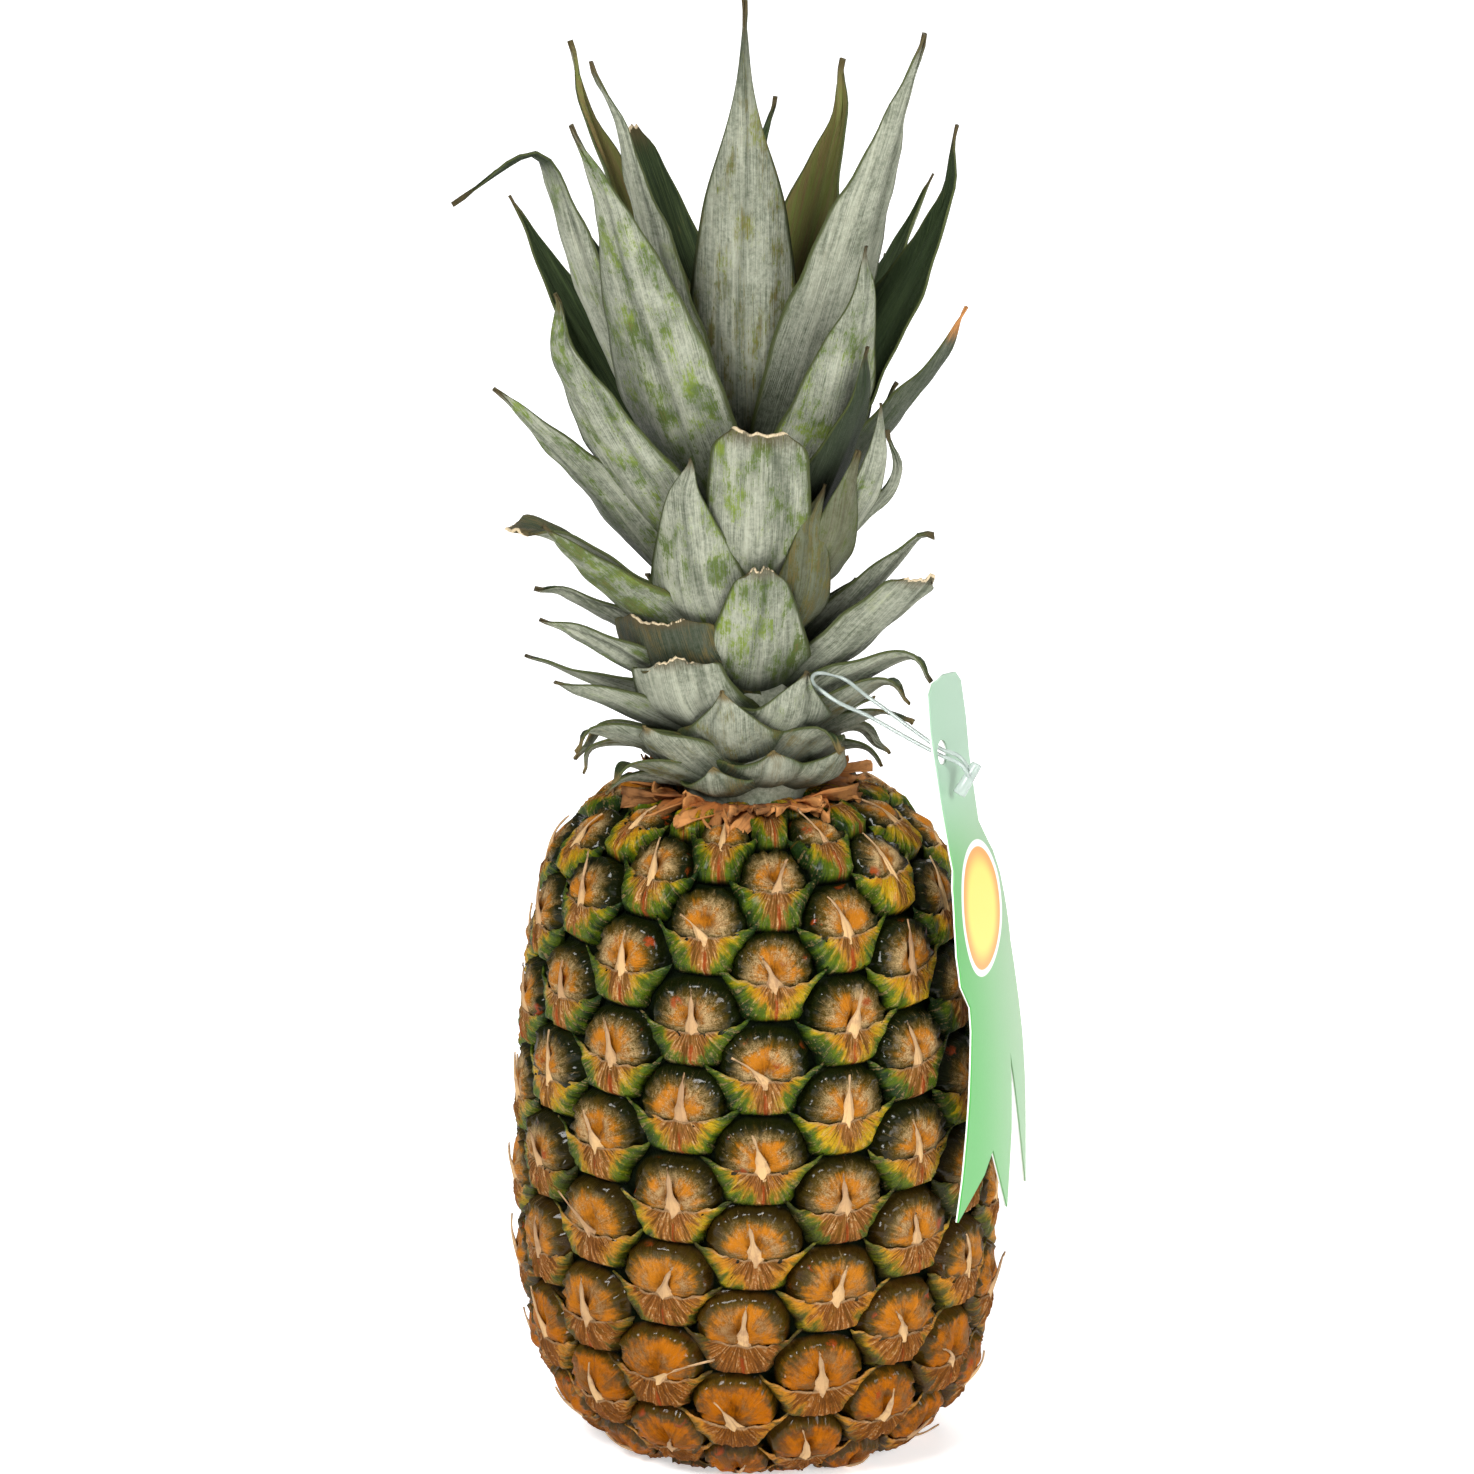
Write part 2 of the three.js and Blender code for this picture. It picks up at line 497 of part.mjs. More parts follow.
const group = new THREE.Group();
group.add(part("fruit", barrel, 0xa8732c, 0.45));
group.add(part("bract_collar", dryCollar, 0xb06a34, 0.8));
group.add(part("crown", leafyCrown, 0x7f9378, 0.6));
group.add(part("stalk_stub", solid(new THREE.CylinderGeometry(STUB_RADIUS, STUB_RADIUS, STUB_HEIGHT, 32)
  .rotateX(Math.PI / 2).translate(0, 0, STUB_HEIGHT / 2)), 0xb9935a, 0.85));
group.add(part("tag_card", card(), 0x7fdc8c, 0.35));
group.add(part("tag_loop", loop(), 0xe6ebea, 0.15));

export default group;
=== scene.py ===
"""A ripe pineapple with its crown and a blank hang tag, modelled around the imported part."""

import math

import bmesh
import bpy
import numpy as np
from mathutils import Matrix, Vector


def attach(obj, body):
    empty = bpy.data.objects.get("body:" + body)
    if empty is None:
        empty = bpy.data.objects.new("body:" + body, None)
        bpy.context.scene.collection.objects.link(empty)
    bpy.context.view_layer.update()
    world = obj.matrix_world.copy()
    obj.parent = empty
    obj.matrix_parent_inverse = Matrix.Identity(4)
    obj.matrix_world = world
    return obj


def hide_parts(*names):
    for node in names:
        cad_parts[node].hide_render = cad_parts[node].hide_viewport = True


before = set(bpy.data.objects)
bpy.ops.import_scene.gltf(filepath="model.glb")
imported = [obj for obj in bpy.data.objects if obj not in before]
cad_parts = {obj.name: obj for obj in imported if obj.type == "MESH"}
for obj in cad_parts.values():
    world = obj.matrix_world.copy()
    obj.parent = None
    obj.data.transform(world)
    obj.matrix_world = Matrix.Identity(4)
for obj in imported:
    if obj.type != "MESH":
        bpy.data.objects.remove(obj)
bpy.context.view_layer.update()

bl_info = {
    "name": "Pineapple",
    "version": (1, 0, 0),
    "blender": (4, 5, 0),
    "location": "View3D > Sidebar > Pineapple",
    "description": "Builds the fruit, its crown, its dry collar and its hang tag",
    "category": "Add Mesh",
}

MM = 0.001

# The barrel, in millimetres: radius and height from the foot to the neck, and its lean to the left
LEAN = 0.0227
BARREL_OUTLINE = (
    (0, -3), (14, -2.6), (27, -0.6), (36, 3), (44, 8.5), (50, 16), (54, 25), (57, 42), (58, 65),
    (57.5, 85), (56, 106), (53.5, 127), (50.5, 142), (46.5, 152), (40, 160), (31, 166), (18, 169.5),
    (0, 170.5),
)
REFERENCE_RADIUS = 57.0

# The spiral of fruitlets: turn in degrees and rise in millimetres from one to the next
SPIRAL_TURN = -42.2
SPIRAL_RISE = 1.36
ROW_A = 8
ROW_B = 9
FIRST_AZIMUTH = 1.5
FIRST_HEIGHT = 88.5
ROW_STEPS = 20
SPIRAL_MARGINS = (-14, -4)

# The cut stalk in the foot and the pocket that holds the crown
STUB_RADIUS = 13.0
STUB_HEIGHT = 5.0
POCKET_RADIUS = 18.0
CROWN_BASE = 166.0

# One fruitlet, in millimetres from the foot of its thorn
DOME_HALF = 11.7
DOME_MIDDLE = 4.2
DOME_UP = 9.1
DOME_DOWN = 6.6
BRACT_HALF = 15.3
BRACT_BODY = 10.0
BRACT_SHIFT = 1.2
HORN_RISE = 3.9
BRACT_TAIL = 9.6

# Bracts and thorns are left out this far from the foot and from the neck, along the outline
BRACT_MARGINS = (10, 13)
THORN_MARGINS = (22, 34)


def blade(at, wide, *path, **look):
    """A leaf's azimuth in degrees, its width, its path as reach and height, and what sets it apart."""
    return dict(at=at, wide=wide, path=path, **look)


# Leaves that the front shows, lowest first, in millimetres
FRONT_LEAVES = (
    blade(-65, 13, (14, 171.5), (27, 175), (34, 176), (39, 173.5)),
    blade(-18, 24, (13, 171), (22, 175), (25, 182)),
    blade(-55, 18, (13, 171), (25, 177), (36, 182), (42, 180)),
    blade(50, 22, (13, 171.5), (25, 177), (31, 186)),
    blade(17, 28, (13, 173), (22, 178.5), (26, 187)),
    blade(-105, 14, (12, 174), (26, 181), (37, 182), (43, 172)),
    blade(110, 12, (12, 174), (24, 181), (31, 181), (36, 173)),
    blade(-45, 27, (13, 172), (24, 181), (32, 188), (38, 193)),
    blade(42, 27, (13, 175), (24, 185), (31, 190.5), (35, 188)),
    blade(-82, 14, (12, 176), (26, 181.5), (38, 182), (43, 176.5)),
    blade(85, 13, (12, 176), (24, 180.5), (30, 180.5), (34, 176)),
    blade(-10, 30, (13, 178), (25, 190), (29, 203)),
    blade(-62, 17, (12, 178), (28, 184), (44, 191), (50, 188.5)),
    blade(80, 16, (12, 180), (26, 187), (35, 191), (41, 187)),
    blade(65, 19, (12, 182), (28, 195), (38, 202), (46, 199.5)),
    blade(-64, 19, (12, 184), (26, 190), (40, 198), (54, 204)),
    blade(26, 28, (12, 184), (26, 194), (31, 208)),
    blade(-35, 29, (12, 184), (27, 197), (33, 211), blunt=0.5),
    blade(-78, 16, (12, 188.5), (28, 195), (42, 201), (56, 209)),
    blade(62, 19, (12, 188), (32, 203), (46, 210.5), (53, 206)),
    blade(-44, 30, (12, 191.5), (27, 205.5), (34, 221), blunt=0.7, dry=0.4, dark=0.9,
          dark_from=(0.25, 0.5)),
    blade(58, 20, (12, 194), (32, 212), (52, 233), blunt=0.5),
    blade(-62, 19, (12, 194), (28, 203), (44, 214), (58, 223)),
    blade(6, 28, (12, 196), (28, 214), (34, 238), blunt=0.1, rubbed=1.0),
    blade(-72, 15, (12, 201.5), (33, 215.5), (48, 225), (56, 229)),
    blade(66, 16, (12, 202), (34, 226), (46, 240), (51, 241)),
    blade(-53, 22, (12, 203), (34, 222), (50, 237), (64, 249), rubbed=1.6, dry=0.25),
    blade(-66, 19, (12, 206), (40, 232), (54, 242), (64, 245), blunt=0.5, turn=-8, dry=0.3),
    blade(-25, 29, (12, 206), (29, 226), (35, 246), (40, 267), rubbed=0.6),
    blade(28, 18, (12, 208), (30, 228), (35, 258), rubbed=1.0, dry=0.4, dark=1.45),
    blade(-60, 22, (12, 214), (32, 240), (52, 264), (71, 283), rubbed=0.8),
    blade(38, 18, (12, 214), (34, 240), (40, 256), (43, 267), rubbed=0.5, dark=1.5),
    blade(4, 28, (12, 216), (32, 243), (40, 275), blunt=0.6, rubbed=0.8),
    blade(46, 15, (12, 218), (36, 248), (45, 266), (44, 280), rubbed=0.6),
    blade(-45, 25, (11, 220), (38, 255), (58, 285), (73, 312), rubbed=0.9),
    blade(42, 20, (11, 222), (34, 262), (48, 294), turn=4, dark=1.1),
    blade(60, 9, (12, 222), (36, 248), (43, 258), (44, 270)),
    blade(62, 18, (10, 228), (34, 262), (52, 286), (61, 302), turn=12, dry=1.0, dark=0.85),
    blade(40, 25, (10, 230), (30, 265), (42, 298), (50, 323), rubbed=0.7),
    blade(-100, 20, (10, 232), (32, 270), (46, 295), (60, 321), turn=42),
    blade(-35, 29, (9, 234), (34, 275), (52, 318), (70, 359), rubbed=1.0),
    blade(72, 23, (10, 236), (30, 278), (48, 315), (58, 346), turn=-52, dark=0.6),
    blade(-75, 19, (9, 238), (30, 275), (44, 310), (50.5, 333), (53.5, 337.5), (58, 338), (75.5, 327.5),
          hook=0.0, dark=1.0, dark_from=(0.76, 0.8)),
    blade(110, 18, (9, 238), (26, 275), (40, 305), (51, 324), turn=0),
    blade(-50, 18, (8, 244), (22, 285), (34, 325), (46, 368), turn=0),
    blade(50, 26, (8, 244), (26, 290), (42, 335), (57, 376.5), hook=0.0),
    blade(-3, 28, (7, 246), (18, 290), (16, 335), (10, 377.5), rubbed=0.45, hook=0.0, dry=0.3, nip=0.6,
          dark=0.8, dark_from=(0.76, 0.95)),
    blade(-120, 20, (7, 248), (24, 290), (40, 325), (54, 355), turn=0, dark=2.0),
    blade(-150, 18, (6, 248), (26, 285), (45, 310), (59, 327), blunt=0.2, turn=0),
    blade(150, 27, (6, 248), (25, 290), (42, 322), (56, 344), turn=8, dark=2.0),
    blade(165, 10, (5, 250), (9, 300), (12, 346), turn=0),
)
ROLL_TO_FRONT = 26.0
STEM_LEAVES = dict(rows=5, low=171, step=9, count=6, first=92, spread=32)
BACK_LEAVES = dict(count=22, first=124, sector=112, golden=0.618, low=173, step=3.2)

# Leaves rooted below these heights, in millimetres, are dried at the tip, or widest near the root
DRIED_BELOW = 183
WIDE_ROOT_BELOW = 230

# The collar: how many scraps, and how thick they and the thorns are, in metres
SCRAP_COUNT = 34
PAPER_WALL = 0.0004

# Grids of the sheets, as columns and rows
SKIN_GRID = (396, 250)
BRACT_GRID = (24, 10)
THORN_GRID = (4, 12)
SCRAP_GRID = (10, 12)
FRONT_COLUMNS = 22
BACK_COLUMNS = 12
LONG_LEAF_ROWS = 40
SHORT_LEAF_ROWS = 28
LONG_LEAF = 60  # millimetres

# First numbers of the random draws
PLACE_SEED = 100
FRONT_LEAF_SEED = 300
BACK_LEAF_SEED = 360
SCRAP_SEED = 700
DOME_SEED = 1000
BRACT_SEED = 5000
THORN_SEED = 9000

# Tag: the card's distance from the axis by height, its outline as across and height, and the loop's route
CARD_AZIMUTH = 67.5
CARD_THICKNESS = 0.8
CARD_CURVE = ((60, 62.6), (100, 63.8), (132, 62.6), (150, 60.2), (166, 56.9), (190, 53.3), (208, 50.5))
CARD_OUTLINE = (
    (-16.5, 205), (-18.3, 196), (-18.4, 191), (-17.9, 178), (-17.1, 168), (-17, 160), (-19.3, 156.5),
    (-22, 147.5), (-23.7, 140), (-23, 132), (-18, 125), (-17.7, 118.8), (-20, 101), (-22, 88.6),
    (-23.3, 81), (-26, 71), (-9.4, 78.2), (-3.9, 83.2), (7.4, 64.5), (8.4, 84.7), (7.7, 95.5),
    (6.6, 105.8), (19.5, 67.4), (17, 92.7), (14.7, 109.2), (12, 123), (9.8, 134), (9.5, 146),
    (9, 152), (7.6, 158), (2.4, 167.3), (2.4, 185), (3.6, 194), (3.8, 203), (1.3, 205.8),
    (-5.8, 207.2), (-13.5, 207),
)
CARD_HOLE = dict(across=-13.6, height=189.5, radius=3.1)
CARD_ROWS = 40
OVAL = dict(across=-5.2, height=147.0, half_width=12.6, half_height=16.5)
LOOP_RADIUS = 0.5
LOOP_PATH = (
    (51.6, -33.2, 183.3), (49.3, -33.2, 188.1), (44.7, -32.7, 190.1), (37.5, -29.2, 194.1),
    (27, -22.5, 200), (17, -16.5, 204.5), (12.5, -19, 204.5), (16.5, -23.2, 201), (27, -26.6, 196.5),
    (37.5, -31.2, 191.8), (44.4, -33.8, 188.9), (49.5, -34.8, 186.7),
)
CLASP = dict(centre=(51.2, -33.2, 182.5), along=(5, 2.5, 8), radius=1.65, length=9)

# Camera: a very long lens a little above the fruit
CAMERA_ELEVATION = 18.0
CAMERA_DISTANCE = 6.0
CAMERA_TARGET = (-0.00625, 0.0, 0.1827)
FRAME_HEIGHT = 0.3685
SENSOR = 36.0

# Lights: place and size in metres, and power as a share of the main light's setting
LIGHTS = (
    ("key", (-0.75, -1.3, 1.35), 0.7, 3.0),
    ("fill", (1.25, -1.1, 0.75), 0.9, 1.7),
    ("back", (0.3, 1.3, 1.3), 0.9, 1.2),
)
FLOOR_HALF = 6.0


def smooth(value, low, high):
    """A smooth step from 0 at low to 1 at high."""
    share = np.clip((value - low) / (high - low), 0.0, 1.0)
    return share * share * (3.0 - 2.0 * share)


def spline(points, samples):
    """Even samples of a smooth curve through the points, clamped at both ends."""
    spots = np.array(points, dtype=float)
    count = len(spots) - 1
    at = np.linspace(0.0, count, samples)
    first = np.minimum(at.astype(int), count - 1)
    part = (at - first)[:, None]
    before, start = spots[np.maximum(first - 1, 0)], spots[first]
    end, after = spots[first + 1], spots[np.minimum(first + 2, count)]
    pull_start, pull_end = (end - before) / 2, (after - start) / 2
    cube = (2 * start - 2 * end + pull_start + pull_end) * part ** 3
    square = (-3 * start + 3 * end - 2 * pull_start - pull_end) * part ** 2
    return cube + square + pull_start * part + start


def by_length(points):
    """The points of a curve with their distance along it."""
    steps = np.linalg.norm(np.diff(points, axis=0), axis=1)
    return np.concatenate(([0.0], np.cumsum(steps))), points


OUTLINE_ALONG, OUTLINE = by_length(spline(BARREL_OUTLINE, 401))
OUTLINE_LENGTH = OUTLINE_ALONG[-1]
OUTLINE_SLOPE = np.gradient(OUTLINE, OUTLINE_ALONG, axis=0)
FIRST_ALONG = float(np.interp(FIRST_HEIGHT, OUTLINE[:, 1], OUTLINE_ALONG))


def skin_point(azimuth, along, out):
    """Points on the barrel's skin in metres, for azimuths in degrees and lengths in millimetres."""
    azimuth, along, out = np.broadcast_arrays(azimuth, along, out)
    radius = np.interp(along, OUTLINE_ALONG, OUTLINE[:, 0])
    height = np.interp(along, OUTLINE_ALONG, OUTLINE[:, 1])
    across = np.interp(along, OUTLINE_ALONG, OUTLINE_SLOPE[:, 0])
    upward = np.interp(along, OUTLINE_ALONG, OUTLINE_SLOPE[:, 1])
    reach = np.maximum(radius + upward * out, 0.0)
    height = height - across * out
    turn = np.radians(azimuth)
    points = np.stack((reach * np.sin(turn) - LEAN * height, -reach * np.cos(turn), height), axis=-1)
    return points * MM


def row_step(row):
    """Turn and rise from one fruitlet to the next one of the same row family."""
    turn = SPIRAL_TURN * row
    return turn - 360 * round(turn / 360), SPIRAL_RISE * row


def fruitlets():
    """Every fruitlet as its azimuth, its distance along the outline and its number."""
    places = []
    turn_a, rise_a = row_step(ROW_A)
    turn_b, rise_b = row_step(ROW_B)
    for a in range(ROW_B):
        for b in range(-ROW_STEPS, ROW_STEPS + 1):
            along = FIRST_ALONG + a * rise_a + b * rise_b
            if SPIRAL_MARGINS[0] < along < OUTLINE_LENGTH - SPIRAL_MARGINS[1]:
                number = a * (2 * ROW_STEPS + 1) + b + ROW_STEPS
                aside, above = np.random.default_rng(PLACE_SEED + number).uniform(-1, 1, 2)
                azimuth = FIRST_AZIMUTH + a * turn_a + b * turn_b + 0.9 * aside
                places.append((azimuth, along + 0.7 * above, number))
    return places


def fruitlets_within(margins):
    """The fruitlets between two margins along the outline."""
    return [place for place in fruitlets() if margins[0] < place[1] < OUTLINE_LENGTH - margins[1]]


def local_place(azimuth, along, fruitlet):
    """Across and up, in millimetres, of points as seen from a fruitlet's thorn."""
    turn = (azimuth - fruitlet[0] + 180.0) % 360.0 - 180.0
    return np.radians(turn) * REFERENCE_RADIUS, along - fruitlet[1]


def sheet(bm, columns, rows, place, layers):
    """Adds a grid and lays it out: place gives points and layer values for shares across and along."""
    made = bmesh.ops.create_grid(bm, x_segments=columns, y_segments=rows, size=0.5)["verts"]
    across = np.array([vert.co.x for vert in made]) + 0.5
    along = np.array([vert.co.y for vert in made]) + 0.5
    points, *values = place(across, along)
    for vert, point in zip(made, points):
        vert.co = point
    for layer, value in zip(layers, values):
        for vert, item in zip(made, value):
            vert[layer] = item


def mesh_from(bm, name):
    """A new mesh from a bmesh that is no longer needed."""
    mesh = bpy.data.meshes.new(name)
    bm.to_mesh(mesh)
    bm.free()
    return mesh


def mesh_of_sheets(name, attributes, sheets):
    """One mesh from many sheets, each given as its columns, rows and layout."""
    bm = bmesh.new()
    layers = [bm.verts.layers.float_vector.new(attribute) for attribute in attributes]
    for columns, rows, place in sheets:
        sheet(bm, columns, rows, place, layers)
    return mesh_from(bm, name)


def add_object(name, mesh, body="root", replaces=(), materials=(), sharp_over=70):
    """Puts a finished mesh in the scene as a piece that rides on a body."""
    piece = bpy.data.objects.new(name, mesh)
    bpy.context.scene.collection.objects.link(piece)
    for material in materials:
        mesh.materials.append(material)
    for polygon in mesh.polygons:
        polygon.use_smooth = True
    mesh.set_sharp_from_angle(angle=math.radians(sharp_over))
    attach(piece, body)
    if replaces:
        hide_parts(*replaces)
    return piece


def thicken(piece, thickness, material_offset=0):
    """A live wall that grows inwards from the sheet."""
    wall = piece.modifiers.new("wall", "SOLIDIFY")
    wall.thickness = thickness
    wall.offset = -1.0
    wall.material_offset = material_offset


# Materials


class Value:
    """A shader socket that takes part in Python sums."""

    def __init__(self, tree, socket):
        self.tree = tree
        self.socket = socket

    def math(self, operation, other=None, swapped=False):
        ends = (other, self) if swapped else (self, other)
        inputs = {i: end for i, end in enumerate(ends) if end is not None}
        return self.tree.node("ShaderNodeMath", {"operation": operation}, inputs)

    def __add__(self, other):
        return self.math("ADD", other)

    __radd__ = __add__

    def __sub__(self, other):
        return self.math("SUBTRACT", other)

    def __rsub__(self, other):
        return self.math("SUBTRACT", other, swapped=True)

    def __mul__(self, other):
        return self.math("MULTIPLY", other)

    __rmul__ = __mul__

    def __truediv__(self, other):
        return self.math("DIVIDE", other)

    def __pow__(self, other):
        return self.math("POWER", other)

    def absolute(self):
        return self.math("ABSOLUTE")

    def angle_to(self, other):
        return self.math("ARCTAN2", other)

    def larger(self, other):
        return self.math("MAXIMUM", other)


class Tree:
    """The node tree of one material."""

    def __init__(self, name):
        self.material = bpy.data.materials.new(name)
        self.material.use_nodes = True
        self.nodes = self.material.node_tree.nodes
        self.links = self.material.node_tree.links
        self.shader = self.nodes["Principled BSDF"]

    def node(self, kind, settings=None, inputs=None, output=0):
        """Adds a node: its settings first, then the values or links of its sockets."""
        made = self.nodes.new(kind)
        for key, value in (settings or {}).items():
            setattr(made, key, value)
        self.feed(made, inputs or {})
        return Value(self, made.outputs[output])

    def feed(self, made, inputs):
        """Links or sets the sockets of a node."""
        for key, value in inputs.items():
            if isinstance(value, Value):
                self.links.new(value.socket, made.inputs[key])
            elif made.inputs[key].type == "RGBA":
                made.inputs[key].default_value = (*value, 1.0)
            else:
                made.inputs[key].default_value = value

    def finish(self, **inputs):
        """Feeds the surface shader and hands over the material."""
        names = {key.replace("_", " ").title(): value for key, value in inputs.items()}
        fixed = {"Specular": "Specular IOR Level", "Transmission": "Transmission Weight"}
        self.feed(self.shader, {fixed.get(key, key): value for key, value in names.items()})
        return self.material

    def step(self, value, low, high, interpolation="SMOOTHSTEP"):
        """0 at low and 1 at high."""
        return self.node("ShaderNodeMapRange", {"interpolation_type": interpolation},
                         {"Value": value, "From Min": low, "From Max": high})

    def mix(self, factor, first, second):
        """A colour between two others."""
        return self.node("ShaderNodeMix", {"data_type": "RGBA"}, {0: factor, 6: first, 7: second}, 2)

    def place(self):
        """Object coordinates."""
        return self.node("ShaderNodeTexCoord", output=3)

    def noise(self, vector, scale, detail, roughness, distortion=0.0):
        inputs = {"Vector": vector, "Scale": scale, "Detail": detail, "Roughness": roughness,
                  "Distortion": distortion}
        return self.node("ShaderNodeTexNoise", {}, inputs)

    def attribute(self, name):
        """The three parts of a vector attribute of the piece."""
        vector = self.node("ShaderNodeAttribute", {"attribute_name": name}, output=1)
        split = self.node("ShaderNodeSeparateXYZ", {}, {0: vector}).socket.node
        return [Value(self, part) for part in split.outputs]

    def vector(self, x, y, z):
        return self.node("ShaderNodeCombineXYZ", {}, {0: x, 1: y, 2: z})

    def bump(self, height, strength, distance):
        inputs = {"Height": height, "Strength": strength, "Distance": distance}
        return self.node("ShaderNodeBump", {}, inputs)


def skin_material(settings):
    """Glossy domes that fade from an orange middle to a dark olive rim, with near-black grooves: dark green
    skin with painted shade in them.
    """
    tree = Tree("fruitlet_skin")
    x, y, q = tree.attribute("fruitlet")
    tone, low, _ = tree.attribute("look")
    spot = tree.place()
    fine = tree.noise(spot, 1000.0, 4.0, 0.7)
    blotch = tree.noise(spot, 190.0, 4.0, 0.65)
    angle = (y - DOME_MIDDLE * 0.3).angle_to(x)
    rays = tree.noise(tree.vector(angle * 8.0, q * 0.9, tone * 30.0), 1.0, 4.0, 0.65)
    grain = tree.noise(spot, 3200.0, 3.0, 0.7)
    hairs = tree.noise(tree.vector(angle * 17.0, q * 2.2, tone * 30.0), 1.0, 4.0, 0.7)
    edge = q + (rays - 0.5) * 0.36 + (blotch - 0.5) * 0.5 + (hairs - 0.5) * 0.25
    edge = edge + (tone - 0.5) * 0.12
    orange = tree.mix(tree.step(low, 0.45, 0.95), settings.dome_orange, settings.dome_yellow)
    brown = tree.step(blotch + (rays - 0.5) * 0.3, 0.38, 0.62) * 0.9
    middle = tree.mix(brown, orange, settings.dome_brown)
    olive = tree.mix(tree.step(edge - low * 0.34, 0.28, 0.58), middle, settings.dome_olive)
    rim_tone = tree.mix(low * 0.5, settings.dome_rim, settings.dome_brown)
    rim = tree.mix(tree.step(edge - low * 0.26, 0.54, 0.86), olive, rim_tone)
    ring = tree.step(q, 0.06, 0.3) * (1.0 - tree.step(edge, 0.42, 0.82))
    fluff = tree.step(hairs * 0.28 + fine * 0.42 + grain * 0.5 + (blotch - 0.5) * 0.8, 0.5, 0.82)
    whitish = fluff * ring * (1.0 - low * 0.9)
    band = tree.step(q, 0.5, 0.7) * (1.0 - tree.step(q, 0.84, 0.97))
    streak = tree.step(hairs + (grain - 0.5) * 0.5, 0.58, 0.76) * band
    pale = tree.mix((whitish * 0.9).larger(streak * (0.3 - low * 0.15)), rim, settings.dome_pale)
    spots = tree.node("ShaderNodeTexVoronoi", {}, {"Vector": spot, "Scale": 110.0, "Randomness": 1.0})
    red = (1.0 - tree.step(spots, 0.12, 0.24)) * tree.step(blotch, 0.5, 0.56)
    red = red * (1.0 - tree.step(q, 0.8, 1.0))
    spotted = tree.mix(red * 0.8, pale, settings.dome_red)
    # Painted shade: the grooves and the skin under the bract's lip get the near-black groove colour, darker
    # than the dark green skin there
    painted_shade_under = tree.step(0.3 - y, 0.0, 1.5)
    groove_and_shade = tree.step(q, 0.95, 1.06)
    colour = tree.mix(groove_and_shade.larger(painted_shade_under), spotted, settings.groove_and_shade)
    height = rays * 0.6 + hairs * 0.5 + fine * 0.3
    normal = tree.bump(height, 0.8, 0.0015)
    dome = 1.0 - tree.step(q, 0.94, 1.05)
    gloss = 0.52 - dome * 0.1 + fine * 0.15
    wet = dome * tree.step(edge, 0.5, 0.85) * 0.26
    return tree.finish(base_color=colour, roughness=gloss, normal=normal, specular=0.03,
                       coat_weight=wet, coat_roughness=0.12)


def bract_material(settings):
    """Bracts: dried and veined in the middle, yellow beside that, green outwards, dark at the horns, with
    painted shade where they sink into the grooves.
    """
    tree = Tree("bract")
    x, y, drop = tree.attribute("bract")
    tone, low, high = tree.attribute("look")
    spot = tree.place()
    fine = tree.noise(spot, 1200.0, 4.0, 0.65)
    blotch = tree.noise(spot, 210.0, 4.0, 0.6)
    angle = x.angle_to(3.4 - y)
    rays = tree.noise(tree.vector(angle * 5.0, drop * 1.2, tone * 40.0), 1.0, 4.0, 0.65)
    veins = tree.noise(tree.vector(angle * 15.0, drop * 1.5, tone * 70.0), 1.0, 4.0, 0.6)
    reach = (x / BRACT_HALF).absolute() + (blotch - 0.5) * 0.5 + (rays - 0.5) * 1.1
    reach = reach + (tone - 0.5) * 0.25
    parched_tone = tree.mix(low, settings.bract_dry, settings.bract_rust)
    dry = tree.mix(tree.step(veins, 0.38, 0.62), settings.bract_brown, parched_tone)
    yellow = tree.mix(tree.step(rays + low * 0.2, 0.42, 0.6), settings.bract_yellow,
                      settings.bract_orange)
    green = tree.mix(tree.step(reach + drop * 0.5 + (veins - 0.5) * 0.4, 0.66, 1.02), settings.bract_green,
                     settings.bract_dark)
    mossy = tree.mix(low * 0.6, green, settings.bract_brown)
    outer = tree.mix(tree.step(reach + drop * 0.6 - low * 0.12, 0.46, 0.78), yellow, mossy)
    parched = 0.25 + low * 0.34 + (tone - 0.5) * 0.42 - high * 0.08
    drying = 1.0 - tree.step(reach - parched + drop * 0.3 + (veins - 0.5) * 0.4, 0.0, 0.2)
    body = tree.mix(drying * 0.9, outer, dry)
    streaks = tree.step(veins + (fine - 0.5) * 0.7, 0.55, 0.7) * (0.3 + drying * 0.55 - low * 0.45)
    pale = tree.mix(streaks, body, settings.bract_pale)
    scars = tree.step(1.0 - veins, 0.6, 0.7) * tree.step(blotch, 0.42, 0.6) * (0.4 + low * 0.15)
    scarred = tree.mix(scars, pale, settings.dome_brown)
    crack = 1.0 - tree.step((x + (rays - 0.5) * 3.0).absolute(), 0.15, 0.5)
    cracked = tree.mix(crack * tree.step(drop, 0.25, 0.4) * tree.step(tone, 0.25, 0.4) * 0.8, scarred,
                       settings.dome_red)
    lip = (1.0 - tree.step(drop, 0.015, 0.07)) * (1.0 - tree.step(reach, 0.2, 0.9))
    lipped = tree.mix(lip * 0.6, cracked, settings.thorn)
    # Painted shade: the lower sides and the tail of a bract, where it sinks into the grooves, take the
    # near-black groove colour
    side = tree.step((x / 10.0).absolute() * tree.step(drop, 0.35, 0.65) + (blotch - 0.5) * 0.2, 0.84, 1.04)
    sunk_shade = tree.step(drop + (blotch - 0.5) * 0.14, 0.86, 0.99).larger(side)
    colour = tree.mix(sunk_shade * 0.97, lipped, settings.groove_and_shade)
    normal = tree.bump(rays * 0.8 + veins * 0.9 + fine * 0.35, 1.0, 0.0018)
    gloss = 0.5 + drying * 0.22 + fine * 0.15
    return tree.finish(base_color=colour, roughness=gloss, normal=normal, specular=0.08,
                       coat_weight=(1.0 - drying) * 0.14, coat_roughness=0.25)


